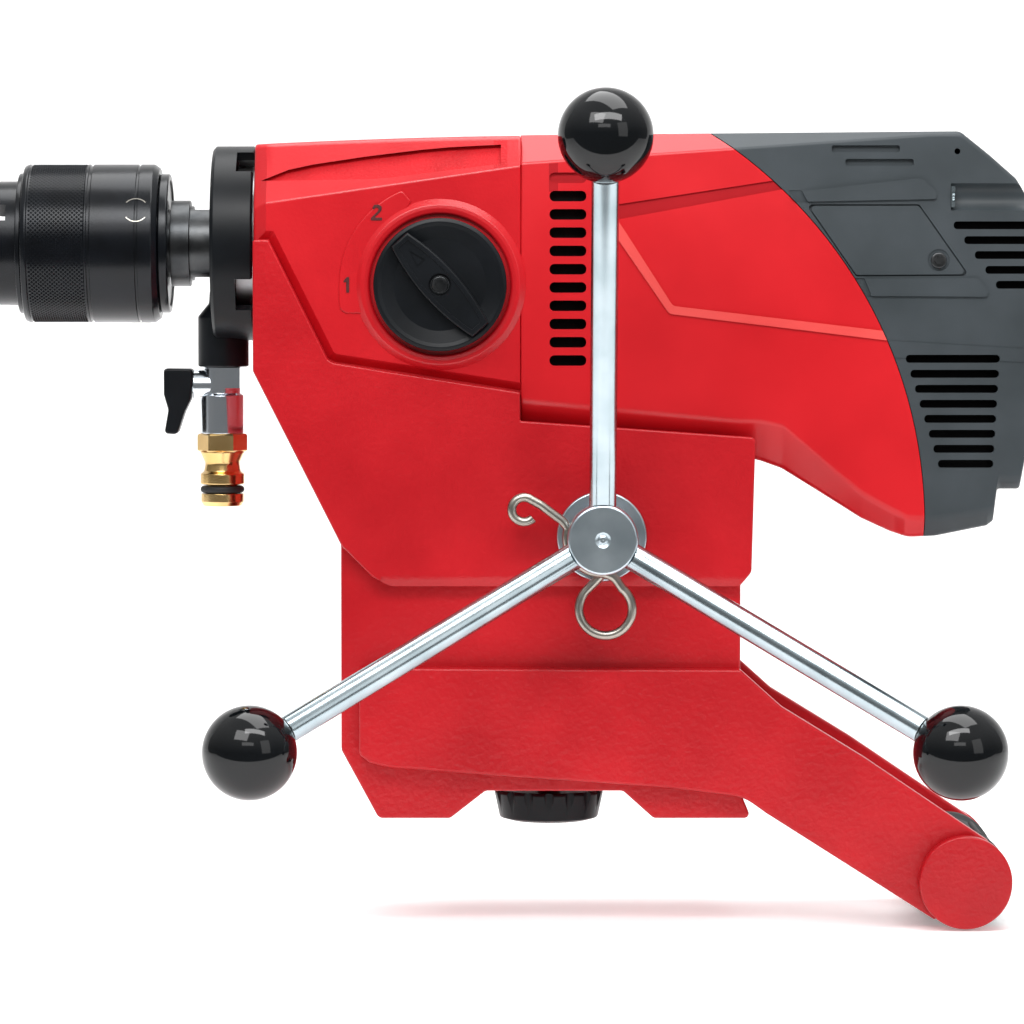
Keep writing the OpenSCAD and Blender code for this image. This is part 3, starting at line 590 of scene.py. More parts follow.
SLOT_FINISH = {
    "cast_paint": CAST_RED, "red_casing": PLASTIC_RED, "red_plastic": PLASTIC_RED,
    "black_plastic": PLASTIC_BLACK, "gloss_black": GLOSS_BLACK, "rubber": RUBBER, "plated": CHROME,
    "steel": STEEL, "black_oxide": SPINDLE_DARK, "aluminium": ALUMINIUM, "brass": BRASS,
    "copper": COPPER, "iron": IRON, "carbon": CARBON}


def inside(line, x, z):
    """True where a point in X and Z lies inside an outline."""
    odd = False
    for a, b in zip(line, line[1:] + line[:1]):
        if (a[1] > z) != (b[1] > z) and x < a[0] + (z - a[1]) * (b[0] - a[0]) / (b[1] - a[1]):
            odd = not odd
    return odd


def finish_piece(piece, body, nodes, paint, angle=32, weighted=True, patches=()):
    """Shades a piece, paints it and lets it stand for its CAD nodes.

    patches holds (paint, outline) pairs for areas with another finish, or with painted shade or a painted
    highlight.
    """
    tidy_mesh(piece.data)
    mesh = piece.data
    mesh.shade_smooth()
    mesh.set_sharp_from_angle(angle=radians(angle))
    mesh.materials.clear()
    mesh.materials.append(paint)
    mesh.polygons.foreach_set("material_index", [0] * len(mesh.polygons))
    for number, (other, line) in enumerate(patches, 1):
        mesh.materials.append(other)
        for face in mesh.polygons:
            if inside(line, face.center.x / MM, face.center.z / MM):
                face.material_index = number
    if weighted:
        step = piece.modifiers.new("weighted", "WEIGHTED_NORMAL")
        step.keep_sharp = True
        step.weight = 60
        baked(piece)
    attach(piece, body)
    if nodes:
        piece.name = nodes[0] + "_finished"
        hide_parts(*nodes)
    return piece


# ---------- carriage ----------

CRADLE = [(-99.8, 50.2, 8), (-92, 46, 8), (60, 46, 2), (65.2, 52.2, 4), (66.8, 110.8, 2), (-35.5, 118, 1),
          (-35.5, 130.4, 1), (-116.4, 143.2, 3), (-119, 144.7, 3), (-144.6, 196.5, 1), (-151.5, 196.5, 1),
          (-151.5, 139.7, 3), (-113.1, 63.7, 6)]
CORE = [(-97.3, -56, 3), (-66, -56, 3), (-50.6, -44, 3), (9.5, -44, 3), (22.9, -56, 3), (65.6, -56, 2),
        (60.7, -44, 3), (60.7, 46, 2), (62, 100.5, 1.5), (-35, 112, 1.5), (-137.4, 112, 1.5),
        (-113.6, 63.7, 4), (-113.6, -26, 5)]
PANEL = [(-105.6, -27.4, 3), (-101, -31, 3), (-93, -33, 6), (-35, -37.4, 20), (-11, -39, 20), (30, -42, 30),
         (62, -46, 20), (71.7, -53, 12), (145.6, -99.9, 1), (158.4, -82.7, 0), (169.4, -65.7, 1),
         (114.4, -28.6, 20), (78.5, -6.6, 8), (60.5, 9.6, 2), (-105.6, 10.4, 2)]
FEET = [(-112, -30), (-112, 30), (-64, -30), (-64, 30)]
ROLLERS = [(-95, -1), (-95, 1), (42, -1), (42, 1)]


def carriage():
    """The cast carriage with its cradle plates and the two arms of the handle."""
    body = side_plate("carriage_frame", CORE, -47, 47, edge=1.0)
    for side in (-1, 1):
        cradle = side_plate("cradle", CRADLE, -54, -46.95, edge=0.8)
        lower = side_plate("panel", PANEL, -54, -45, edge=1.2)
        boss = rod("boss", 19.8, -55, 11, "Y", HANDLE, edge=1.0, sides=72)
        bevel = stack("bevel", [[(x, -54.8, 43), (x, -50.2, 43), (x, -54.8, 52.5)] for x in (-96, 64)])
        cut(cradle, bevel)
        if side > 0:
            for part in (cradle, lower, boss):
                moved(part, Matrix.Scale(-1, 4, (0, 1, 0)))
        add(body, cradle, lower, boss)
    cut(body, block("passage", (-150, -34, -34), (110, 34, 34)))
    cut(body, block("rack", (-150, -13, 0), (110, 13, 50)))
    cut(body, rod("pinion", 20, -15, 30, "Y", WHEEL, 0.1), block("window", (-14, -15, 30), (14, 15, 60)))
    cut(body, rod("bore", 10.04, -80, 160, "Y", WHEEL, 0.01, 96))
    for side in (-1, 1):
        room = block("room", (-160, min(side * 17, side * 45), 52), (80, max(side * 17, side * 45), 102))
        low, high = sorted((side * 10, side * 60))
        cut(room, block("step", (-30, low, 92), (90, high, 110)))
        cut(room, rod("column", 15, min(0, side * 60), 60, "Y", WHEEL, 0.1))
        cut(body, room)
    cut(body, *[rod("foot", 4, 90, 30, "Z", (x, y, 0), 0.1, 32) for x, y in FEET])
    for x, side in ROLLERS:
        y0 = side * 42 + (-14 if side > 0 else -9.5)
        cut(body, block("pocket", (x - 10.5, y0, -15.5), (x + 10.5, y0 + 23.5, 7.5)),
            rod("axle", 3, -24, 32, "Z", (x, side * 42, 0), 0.1, 32))
    cut(body, rod("stud", 5.04, -60, 40, "Z", LOCK, 0.1, 48),
        block("shoe", (LOCK_X - 16, -16, -39.5), (LOCK_X + 16, 16, -29.5)))
    cut(body, rod("bar_a", 9, -60, 20, "Y", HANDLE, 0.1),
        rod("bar_b", 9, 40, 20, "Y", HANDLE, 0.1))
    return finish_piece(body, FIXED, ["carriage_frame"], CAST_RED)


def handle():
    """Rubber grip between the arms, and the two end caps."""
    profile = [(9, -43.8), (18.6, -43.8), (20.2, -40.8), (20.2, -33.8), (18.5, -27.8), (18.5, 27.8),
               (20.2, 33.8), (20.2, 40.8), (18.6, 43.8), (9, 43.8)]
    grip = lathe("handle_grip", profile, "Y", HANDLE, radius=1.4, sides=96)
    rib = rod("grip_rib", 1.2, -24, 48, "Y", (HANDLE_X + 18.8, 0, HANDLE_Z), 0.8, 10)
    ribs = repeated(rib, 12, turn=(0, 30, 0), about=HANDLE, material=RUBBER)
    add(grip, ribs)
    finish_piece(grip, FIXED, ["handle_grip"], RUBBER)
    cap = rod("handle_end_caps", 20.28, -61.99, 6.9, "Y", HANDLE, 1.1, 96)
    finish_piece(both_sides(cap), FIXED, ["handle_end_caps"], CAST_RED)


def clamp_knob():
    """The fluted knob under the carriage, with its stud."""
    line = [(0.001, -61.8), (17, -61.5), (21.8, -60.2), (24.3, -48.8), (23, -47.8), (0.001, -47.8)]
    knob = lathe("lock_knob", line, "Z", LOCK, radius=1.2, sides=128)
    flute = rod("flute", 2.6, -62.8, 20, "Z", (LOCK_X + 25.4, 0, 0), 0.2, 16)
    cut(knob, repeated(flute, 16, turn=(0, 0, 22.5), about=LOCK, material=KNOB_BLACK))
    add(knob, rod("stud", 5, -48, 8.9, "Z", LOCK, 0.4, 48))
    finish_piece(knob, "lock_knob", ["lock_knob"], KNOB_BLACK)


# ---------- gear housing ----------

def crease_height(x):
    """Z of the edge between the housing's side and its sloping shoulder."""
    return 228.5 + (x + 35.7) * 0.1453


def gear_loft(name, d=0.0):
    """The gear housing as sections along X, drawn in by d."""
    stations = [FRONT_X + d, -151.1 + d, -150.3 + d, -149 + d, -147.4 + d, -145.8 + d] + \
        [-143 + i * 6 for i in range(18)] + [-36.6 - d, -35.6 - d, SPLIT_X - d]
    loops = []
    for x in stations:
        ends = min(x - FRONT_X - d, SPLIT_X - d - x)
        soft = 0.9 * (1 - sqrt(max(0.0, 1 - (1 - min(1, ends / 0.9)) ** 2)))
        front = max(0.0, -145.8 - x) * 0.9
        low = max(112.5, 112.5 + (-137.2 - x) * 2.035)
        top = 238.4 + 3.5 * (1 - (1 - min(1, max(0, (x - FRONT_X) / 116.3))) ** 1.6) - soft - d
        side = crease_height(x) - 0.4 * front - d * 0.4
        wide = 50 - front - soft - d
        top_y = 50 - 0.72 * (top - side) - 0.5 * front - d
        low_y = wide
        half = [(low_y, low + d + soft, 3), (wide, side, 2.4), (top_y, top, 5)]
        corners = [(-y, z, r) for y, z, r in half[:1]] + half + [(-y, z, r) for y, z, r in half[:0:-1]]
        loops.append([(x, y, z) for y, z in rounded(corners, steps=4)])
    return stack(name, loops)


def gear_case():
    """The cast gear housing with its scoops, selector bezels, scale and digits."""
    case = gear_loft("gear_housing")
    inner = gear_loft("cavity", 3.6)
    cut(inner, block("web_a", (-80, -60, 100), (-66, 60, 250)),
        block("web_b", (-160, -60, 100), (-134, 60, 250)))
    cut(case, inner)
    cut(case, block("flange", (-50, -43.2, 116.2), (-20, 43.2, 228.8)))
    room = [(-99.8, 44.5), (-92, 40.3), (60, 40.3), (71, 52), (72.8, 111), (-35, 118.3), (-35, 130.8),
            (-116.4, 143.5, 2), (-119.2, 145, 2), (-144.9, 196.8, 1), (-157.5, 196.8), (-157.5, 139.7),
            (-119, 60)]
    seat = tapered_plate("seat", room, -46.8, -70, 0.0)
    relief = tapered_plate("relief", offset(room, 0.2), -46.9, -50.6, 4.2)
    cut(case, both_sides(seat))
    cut(case, both_sides(relief))
    ring = lathe("bezel", [(37.6, -48), (37.4, -49.9), (34.6, -52.2), (33, -52.4), (31.2, -52.1), (28, -48)],
                 "Y", KNOB, radius=1.4, sides=128, steps=4)
    scale = on_circle(44, [112 + k * (68 / 18) for k in range(19)], KNOB_X, KNOB_Z)
    scale[0] += (4,)
    pad_line = [(KNOB_X - 25, KNOB_Z + 15), (KNOB_X - 12.5, KNOB_Z + 36, 1.5)] + scale + \
        [(KNOB_X - 44, KNOB_Z - 12.5, 4), (KNOB_X - 25, KNOB_Z - 12.5)]
    pad = side_plate("scale", rounded(pad_line, steps=4), -50.75, -48, edge=0.6)
    add(case, pad, ring)
    cut(case, rod("recess", 30.5, -60, 10.2, "Y", KNOB, 0.01, 128))
    cut(case, rod("shaft_hole", 7.04, -60, 30, "Y", KNOB, 0.01, 64))
    scoop = [(-148.4, 222.2), (-136.5, 227.0), (-126, 229.3), (-115.7, 230.9), (-103, 232.8), (-90.8, 234.3),
             (-78, 235.8), (-65.8, 236.9), (-43.8, 238.0), (-43.8, 229.6), (-66, 226.8), (-90.8, 223.7),
             (-101, 222.9), (-120, 222.6)]
    hollow = side_plate("scoop", scoop, -60, 60)
    floor = gear_loft("scoop_floor", 2.2)
    cut(hollow, floor)
    cut(case, hollow)
    for x, y in FEET:
        add(case, rod("boss", 8, 112.6, 9, "Z", (x, y, 0), 0.1, 40))
    cut(case, *[rod("foot_hole", 4, 110, 9, "Z", (x, y, 0), 0.05, 32) for x, y in FEET])
    seats = [(26, -160, 30, DRIVE, 96), (21, -79, 11, DRIVE, 96), (15, -90, 30, DRIVE, 64),
             (14, -147, 14, COUNTER, 64), (12, -90, 30, COUNTER, 64)]
    for r, start, length, centre, sides in seats:
        cut(case, rod("bearing_seat", r, start, length, "X", centre, 0.05, sides))
    cut(case, block("fork_gap", (-82, -43, 158), (-62, -28, 194)),
        rod("rod_seat", 4, -136, 4, "X", (0, -35, 173), 0.05, 32))
    # The scoop floor gets the darker textured red, partly painted shade of the recess.
    finish_piece(case, FIXED, ["gear_housing"], HOUSING_RED, patches=[(SCOOP_TEXTURE_AND_SHADE_RED, scoop)])
    two = [(-2.1, 2.0), (-1.2, 3.3), (0.6, 3.5), (2.0, 2.7), (2.1, 1.2), (1.0, -0.2), (-1.2, -2.2),
           (2.2, -2.2), (2.2, -3.4), (-2.6, -3.4), (-2.6, -2.3), (0.2, 0.4), (0.7, 1.4), (0.1, 2.2),
           (-0.8, 2.0), (-1.2, 1.2)]
    one = [(0.3, 3.4), (0.3, -3.4), (-1.0, -3.4), (-1.0, 1.4), (-2.1, 0.9), (-2.1, 1.8), (-0.6, 3.4)]
    marks = []
    for shape, x, z in ((two, -97.6, 208.4), (one, -110.0, 177.1)):
        line = rounded([(x + a, z + b) for a, b in shape], 0.25, 2)
        marks.append(side_plate("digit", line, -51.1, -50.3, edge=0.15, steps=2))
    finish_piece(joined("speed_digits", marks), FIXED, [], PRINT_DARK)


def selector():
    """Speed knob with its blade, and the screw that holds it."""
    dish = lathe("selector_knob", [(0.001, -51), (0.001, -56.6), (20, -56.2), (25.5, -57.6), (27.2, -58.2),
                                   (28.9, -57.6), (28.9, -50.4), (0.001, -50.4)], "Y", KNOB, 0.7, 128)
    blade = []
    for k in range(25):
        t = -1 + 2 * k / 24
        blade.append((26.2 * t, 4.6 + 3.6 * (1 - t * t)))
    line = blade + [(x, -z) for x, z in blade[::-1]]
    bar = side_plate("blade", rounded(line, 0), -61.8, -52, edge=1.0)
    limit = [(0.001, -70), (27.4, -70), (27.4, -58), (26.6, -50), (0.001, -50)]
    common(bar, lathe("taper", limit, "Y", ORIGIN, 0.1, 96))
    cut(bar, side_plate("hollow", offset(line, -2.4), -63, -61.2, edge=0.2))
    tip = [(-20, 0), (-12, 2.6), (-12, -2.6)]
    arrow = side_plate("arrow", tip, -62, -60.8)
    cut(arrow, side_plate("arrow_core", offset(tip, -0.7), -62.5, -60))
    cut(bar, arrow)
    turned_about(bar, "Y", 48, ORIGIN)
    shifted(bar, KNOB)
    add(dish, bar)
    cut(dish, rod("screw_hole", 4.9, -63, 4, "Y", KNOB, 0.05, 48))
    cut(dish, rod("axle_hole", 4, -62, 20, "Y", KNOB, 0.05, 48))
    finish_piece(dish, "selector", ["selector_knob"], KNOB_BLACK)
    fixing = screw("selector_screw", 3.7, -60.3, 1.3, KNOB)
    finish_piece(fixing, "selector", ["selector_screw"], SPINDLE_DARK)


def screw(name, r, y, depth, spot, drive=2.0):
    """A screw head facing -Y with a six-lobed recess."""
    head = rod(name, r, y, depth, "Y", spot, 0.5, 48)
    star = []
    for k in range(24):
        a = 2 * pi * k / 24
        reach = drive * (1 + 0.16 * cos(6 * a))
        star.append((spot[0] + reach * cos(a), spot[2] + reach * sin(a)))
    cut(head, side_plate("drive", star, y - 1, y + 1.2))
    return head


# ---------- chuck and spindle ----------

def on_axis(corners):
    """Profile corners given as (distance along X, radius) for a lathe."""
    return [(c[1], c[0]) + tuple(c[2:]) for c in corners]


def spindle():
    """The spindle's seen end with its wrench flats; the inside keeps the CAD piece's steps."""
    line = [(-222, 6), (-222, 15), (-189.8, 15, 0.2), (-189.8, 19), (-181.4, 19), (-181.4, 16.5, 0.2),
            (-149, 16.5), (-149, 16.2), (-132, 16.2), (-132, 15.65), (-116, 15.65), (-116, 13.5), (-84, 13.5),
            (-84, 12), (-78.6, 12), (-78.6, 10), (-66.6, 10), (-66.6, 0.001), (-144, 0.001), (-144, 6)]
    shaft = lathe("spindle", on_axis(line), "X", DRIVE, radius=0.3, sides=96, steps=2)
    for y in (-19.9, 19.9):
        flat = block("flat", (-180, y - 5, DRIVE_Z - 20), (-172, y + 5, DRIVE_Z + 20))
        cut(shaft, turned_about(flat, "X", 90, DRIVE))
    cut(shaft, rod("water_hole", 2, -30, 60, "Z", (-161.7, 0, DRIVE_Z), 0.05, 32))
    spline = block("spline", (-116, 10, DRIVE_Z - 2), (-99, 15.5, DRIVE_Z + 2))
    turned_about(spline, "X", 90, DRIVE)
    splines = repeated(spline, 6, turn=(60, 0, 0), about=DRIVE, material=SPINDLE_DARK)
    add(shaft, splines)
    finish_piece(shaft, "spindle_unit", ["spindle"], SPINDLE_DARK)


def chuck():
    """Quick-release chuck: slotted nose, knurled sleeve and the rings at its ends."""
    line = [(-266.8, 17.5), (-266.8, 27.5, 1.2), (-257, 27.5, 0.2), (-257, 25.5, 0.2), (-254.6, 25.5, 0.2),
            (-254.6, 28, 0.2), (-191, 28, 0.8), (-191, 15), (-222, 15), (-222, 6), (-224.8, 6),
            (-224.8, 17.5)]
    nose = lathe("chuck_body", on_axis(line), "X", DRIVE, radius=0.5, sides=128, steps=3)
    slot = block("slot", (-270, 10, DRIVE_Z - 4), (-261.5, 40, DRIVE_Z + 4))
    turned_about(slot, "X", -90, DRIVE)
    cut(nose, repeated(slot, 3, turn=(120, 0, 0), about=DRIVE, material=BLUED))
    pocket = rod("pocket", 4, 10, 30, "Z", (-240, 0, DRIVE_Z), 0.05, 32)
    turned_about(pocket, "X", 60, DRIVE)
    cut(nose, repeated(pocket, 3, turn=(120, 0, 0), about=DRIVE, material=BLUED))
    finish_piece(nose, "spindle_unit", ["chuck_body"], BLUED)

    front = [(-257, 25.5), (-257, 31, 0.5), (-254.7, 31, 0.5), (-254.7, 25.5)]
    rear = [(-194.5, 28), (-194.5, 30.75, 0.7), (-190.3, 30.75, 0.9), (-190.3, 28)]
    rings = joined("chuck_end_rings", [lathe("ring", on_axis(p), "X", DRIVE, 0.1, 96) for p in (front, rear)])
    finish_piece(rings, "spindle_unit", ["chuck_rings"], BLUED)

    line = [(-254.5, 28.04, 0.3), (-254.5, 34.2, 1.0), (-252.6, 35, 0.6), (-252, 35, 0.2),
            (-251.6, 34.45, 0.1), (-226.9, 34.45, 0.1), (-226.4, 35, 0.2), (-225.5, 35, 0.2),
            (-225.5, 34.2, 0.2), (-224.1, 34.2, 0.2), (-224.1, 35, 0.3), (-204.3, 35, 0.2),
            (-204.3, 34.2, 0.2), (-203.1, 34.2, 0.2), (-203.1, 35, 0.2), (-197.2, 35, 1.2),
            (-194.7, 33.2, 0.6), (-194.7, 28.04, 0.3)]
    sleeve = lathe("chuck_sleeve", on_axis(line), "X", DRIVE, radius=0.3, sides=128, steps=3)
    finish_piece(sleeve, "chuck_sleeve", ["chuck_sleeve"], BLUED)
    corners = [(-251.4, -0.95, 34.2), (-250.4, 0, 34.2), (-251.4, 0.95, 34.2), (-252.4, 0, 34.2),
               (-251.4, 0, 35.02), (-251.4, 0, 33.6)]
    faces = [(0, 1, 4), (1, 2, 4), (2, 3, 4), (3, 0, 4), (1, 0, 5), (2, 1, 5), (3, 2, 5), (0, 3, 5)]
    stud = solid("stud", [(x + 0.9, y, z + DRIVE_Z) for x, y, z in corners], faces)
    column = repeated(stud, 12, step=(2, 0, 0), about=(-250.5, 0, DRIVE_Z), material=BLUED)
    second = shifted(copy_of(column, "second"), (1, 0, 0))
    turned_about(second, "X", 180 / 110, DRIVE)
    pair = joined("knurl", [column, second])
    knurl = repeated(pair, 110, turn=(360 / 110, 0, 0), about=DRIVE, material=BLUED)
    knurl.name = "sleeve_knurl"
    finish_piece(knurl, "chuck_sleeve", [], BLUED, angle=10, weighted=False)
    marks = []
    limit = on_axis([(-230, 30), (-230, 35.08), (-198, 35.08), (-198, 30)])
    for k in range(3):
        for side in (-1, 1):
            path = []
            for a in range(-50, 51, 10):
                bend = side * 5.5 * cos(radians(a)) / 35
                path.append((-203.7 + 5.5 * sin(radians(a)), 35.02 * sin(bend), DRIVE_Z + 35.02 * cos(bend)))
            arc = turned_about(wire("arc", path, 0.22, NICKEL, 8), "X", 65 + k * 120, DRIVE)
            marks.append(common(arc, lathe("limit", limit, "X", DRIVE, 0.01, 128)))
    finish_piece(joined("sleeve_marks", marks), "chuck_sleeve", [], NICKEL, weighted=False)


# ---------- water supply ----------

def water_supply():
    """Water ring with its windows, the elbow, shut-off valve and hose nipple."""
    line = [(-171, 23), (-171, 41.6, 0.6), (-169.6, 43, 0.8), (-153.2, 43, 0.6), (-152.4, 42.2, 0.2),
            (-152.4, 39, 0.2), (-161, 39), (-161, 23)]
    ring = lathe("water_ring", on_axis(line), "X", DRIVE, radius=0.3, sides=128, steps=3)
    line = [(0.001, 140.4), (11.2, 140.4, 0.8), (11.2, 162.6, 2), (6.4, 168.4, 2), (6, 174), (0.001, 174)]
    add(ring, lathe("elbow", line, "Z", (VALVE_X + 0.6, 0, 0), 0.5, 64))
    window = block("window", (-160, -8, 30), (-148, 8, 50))
    shifted(window, DRIVE)
    turned_about(window, "X", 32, DRIVE)
    cut(ring, repeated(window, 4, turn=(90, 0, 0), about=DRIVE, material=KNOB_BLACK))
    cut(ring, rod("channel", 3.5, 120, 60, "Z", VALVE, 0.05, 32))
    cut(ring, rod("socket", 6, 139, 7.4, "Z", VALVE, 0.05, 48))
    finish_piece(ring, FIXED, ["water_ring"], KNOB_BLACK)

    line = [(3.5, 110.6), (9.5, 110.6), (9.5, 127.6), (8, 128.6), (8, 140.4), (6, 140.4), (6, 146.4),
            (3.5, 146.4)]
    body = lathe("valve_body", line, "Z", VALVE, 0.5, 64)
    neck = lathe("neck", [(3.04, -12.7), (6.6, -12.7), (6.6, 0), (3.04, 0)], "X", VALVE_BALL, 0.4, 48)
    add(body, neck)
    add(body, block("square", (VALVE_X - 2, -8.6, 131), (VALVE_X + 8.2, 8.6, 140)))
    cut(body, rod("seat", 6, 100, 18, "Z", VALVE, 0.05, 48), rod("bore", 3.5, 100, 50, "Z", VALVE, 0.05, 32))
    cut(body, ball("pocket", 6.04, VALVE_BALL))
    cut(body, rod("stem", 3.04, -30, 30, "X", VALVE_BALL, 0.01, 48))
    finish_piece(body, FIXED, ["valve_body"], SILVER)

    wing = [(-25.4, -21.4, 1.5), (-19.6, -21.8, 2.2), (-16.4, -12, 3), (-13.6, -6.2, 3), (-12.8, 2, 0.6),
            (-12.8, 7.2, 1.2), (-25.6, 7.4, 1.4), (-25.6, -4, 2), (-23.6, -11, 4)]
    lever = side_plate("valve_lever", [(VALVE_X + x, BALL_Z + z, r) for x, z, r in wing], -6.4, 6.4, edge=1.0)
    cut(lever, rod("stem", 3, -20, 20, "X", VALVE_BALL, 0.01, 48))
    finish_piece(lever, "water_valve", ["valve_lever"], KNOB_BLACK)

    hexed = rounded(on_circle(11.2, HEX), 0.8, 3)
    nut = stack("hose_nipple", [[(VALVE_X + s * x, s * y, z) for x, y in hexed]
                                for s, z in ((0.93, 102.6), (1, 103.3), (1, 109.9), (0.93, 110.6))])
    line = [(4, 78.5), (8.4, 78.5), (9.5, 80.4), (9.5, 84, 0.3), (6.5, 84, 0.1), (6.5, 87.7, 0.1),
            (9.8, 88.2, 0.6), (9.8, 92.7, 0.6), (8.2, 94, 1), (7.6, 97.4, 3), (9.7, 102.2, 1),
            (9.7, 102.8, 0.2), (6, 103), (6, 117), (4, 117)]
    add(nut, lathe("tail", line, "Z", VALVE, 0.5, 96))
    cut(nut, rod("bore", 4, 70, 60, "Z", VALVE, 0.01, 48))
    finish_piece(nut, FIXED, ["hose_nipple"], BRASS)


# ---------- motor ----------

MOTOR_LOW = [(SPLIT_X, 112.6), (66, 101), (70, 100), (78.9, 96.8), (94.4, 87.2), (113.6, 75.1), (126.3, 69.3),
             (134, 66.8), (146.1, 67.4), (168.4, 71.9), (171.1, 74), (172.8, 88), (182.5, 88), (184.4, 98),
             (184.45, 114), (186.4, 139.7), (REAR_X, 178)]
MOTOR_TOP = [(SPLIT_X, 242.3), (155.7, 243.7), (168.4, 233.5), (180, 223.3), (185.1, 214.9), (REAR_X, 203)]
BEVEL_HEIGHT = [(SPLIT_X, 14), (60, 16), (79, 19), (98, 14), (116, 10.5), (130, 9), (142, 8), (168, 6),
                (172.8, 4), (REAR_X, 3)]
SHOULDER = [(SPLIT_X, 229.8), (151, 242.6), (REAR_X, 245)]


def bulge(y, z):
    """Eases the casing's sides inwards above and below their widest height."""
    return y * (1 - 0.05 * min(1.0, ((z - 165) / 65) ** 2))


def motor_loft(name, d=0.0):
    """Both motor casings as one run of sections along X, drawn in by d."""
    low_line = rounded([(x, z, 12 if x < 150 else 1.5) for x, z in MOTOR_LOW], steps=4, closed=False)
    top_line = rounded([(x, z, 5) for x, z in MOTOR_TOP], steps=4, closed=False)
    stations = [SPLIT_X + d, -34.9 + d, -34.2 + d] + [-31 + i * 4 for i in range(50)] + \
        [p[0] for p in low_line + top_line if -30 < p[0] < 188.1] + [187.2, REAR_X]
    stations = sorted(set(round(x, 2) for x in stations if SPLIT_X + d <= x <= REAR_X - d))
    stations = [x for i, x in enumerate(stations) if i == 0 or x - stations[i - 1] > 0.12]
    loops = []
    for x in stations:
        start = min(1.0, max(0.0, x - SPLIT_X - d))
        end = min(1.0, max(0.0, (REAR_X - d - x) / 3.5))
        soft = 0.8 * (1 - sqrt(1 - (1 - start) ** 2)) + 3.2 * (1 - sqrt(1 - (1 - end) ** 2))
        low = height_at(low_line, x) + d + 0.35 * soft
        top = height_at(top_line, x) - d - 0.35 * soft
        bevel = min(height_at(BEVEL_HEIGHT, x), 0.3 * (top - low))
        side = min(height_at(SHOULDER, x) - d * 0.5, top - 1.6)
        wide = 50 - d - soft
        top_y = wide - 1.25 * min(12.5, top - side)
        low_y = wide - (9 if x < 130 else 6)
        half = [(low_y, low, 4), (wide, low + bevel, 7)]
        half += [(wide, low + bevel + (side - low - bevel) * k / 8, 0) for k in range(1, 8)]
        half += [(wide, side, 2), (top_y, top, 3)]
        corners = [(-half[0][0],) + half[0][1:]] + half + [(-y, z, r) for y, z, r in half[:0:-1]]
        loops.append([(x, bulge(y, z), z) for y, z in rounded(corners, steps=3)])
    return stack(name, loops)


def joint_cylinder(name, r):
    """The curved joint between the two casings."""
    return side_plate(name, on_circle(r, range(-60, 121, 2), -62, 72) + [(-300, 320), (-300, -150)], -70, 70)


def pill(name, x0, x1, z0, z1, y0, y1):
    """A slot with round ends."""
    r = 0.499 * (z1 - z0)
    return side_plate(name, rounded([(x0, z0), (x1, z0), (x1, z1), (x0, z1)], r, 5), y0, y1)


def on_casing(line, depth, name, y0=-60, y1=-44):
    """Relief that follows the casing's side: above zero it stands out, below zero it is the part to cut."""
    prism = side_plate(name, line, y0, y1)
    if depth > 0:
        return common(prism, motor_loft("skin", -depth))
    return cut(prism, motor_loft("skin", -depth))


def motor():
    """The red motor casing with its air slots, stepped band and bead; the band and the blind slot carry
    painted shade, the bead a painted highlight.
    """
    shell = motor_loft("motor_housing")
    # The stepped band below the shoulder is cut 0.9 mm in and painted darker red as painted shade of the
    # step.
    stripe = rounded([(-4, 203.5), (9.7, 205.9), (79, 218.6), (79, 223), (9.7, 212.4), (-4, 210)], 0.1, 1)
    cut(shell, both_sides(on_casing(stripe, -0.9, "stripe")))
    # The raised bead is real; its pale red is a painted highlight.
    bead = rounded([(1, 205.5, 1), (29.3, 164.5, 3), (130, 152.2), (130, 156.2), (30.9, 167.9, 3),
                    (9.9, 200.6), (4.6, 208.5, 1)], steps=3)
    add(shell, both_sides(on_casing(bead, 0.85, "bead")))
    cut(shell, motor_loft("hollow", WALL))
    common(shell, joint_cylinder("keep", 202.8))
    cut(shell, block("mouth", (-40, -46, 127), (-28, 46, 227)),
        block("mouth_low", (-40, -39, 118), (-28, 39, 128)),
        block("mouth_top", (-40, -37, 226), (-28, 37, 236)))
    for x in (2, 66):
        web = block("web", (x, -60, 90), (x + 6, 60, 260))
        common(web, motor_loft("web_limit", 1.0))
        common(web, joint_cylinder("web_joint", 200))
        add(shell, web)
    cut(shell, rod("stator_bore", 42.05, -34, 140, "X", DRIVE, 0.02, 128))
    room = [(-99.8, 44.5), (60, 40.3), (71, 52), (72.8, 110.9), (-35.5, 118.3), (-35.5, 130.8), (-90, 139)]
    cut(shell, both_sides(side_plate("cradle_gap", room, -70, -46.8)))
    slot = both_sides(pill("slot", -22.7, -6.7, 141.9, 146.5, -56, -44))
    cut(shell, repeated(slot, 10, step=(0, 0, 7.93), material=PLASTIC_RED))
    # The blind slot's floor is painted darker red as painted shade in the recess.
    blind_line = rounded([(-22.7, 221.2), (-6.7, 221.2), (-6.7, 225.8), (-22.7, 225.8)], 2.29, 5)
    cut(shell, both_sides(on_casing(blind_line, -1.6, "blind")))
    # Patches: painted shade on the stepped band and the blind slot, painted highlight on the bead.
    finish_piece(shell, FIXED, ["motor_housing"], PLASTIC_RED, angle=28,
                 patches=[(SHADED_STEP_RED, stripe), (BEAD_HIGHLIGHT_RED, bead), (SHADED_STEP_RED, blind_line)])
    # Near-black sheets just inside the casing behind the slots and vents are painted shade, not a real part.
    shade_sheets = []
    for x0, x1, z0, z1 in ((-28, -3, 119, 231), (128, 176, 94, 152), (150, 184.4, 170, 205)):
        shade_sheets.append(both_sides(block("screen", (x0, 43.2, z0), (x1, 44.3, z1))))
    finish_piece(joined("air_screens", shade_sheets), FIXED, [], VENT_SHADE_BLACK)


BRUSH_PANEL = [(110.6, 181.2, 1.5), (158.8, 181.5, 1.5), (137.6, 211.5, 1.5), (89.5, 211.5, 1.5)]


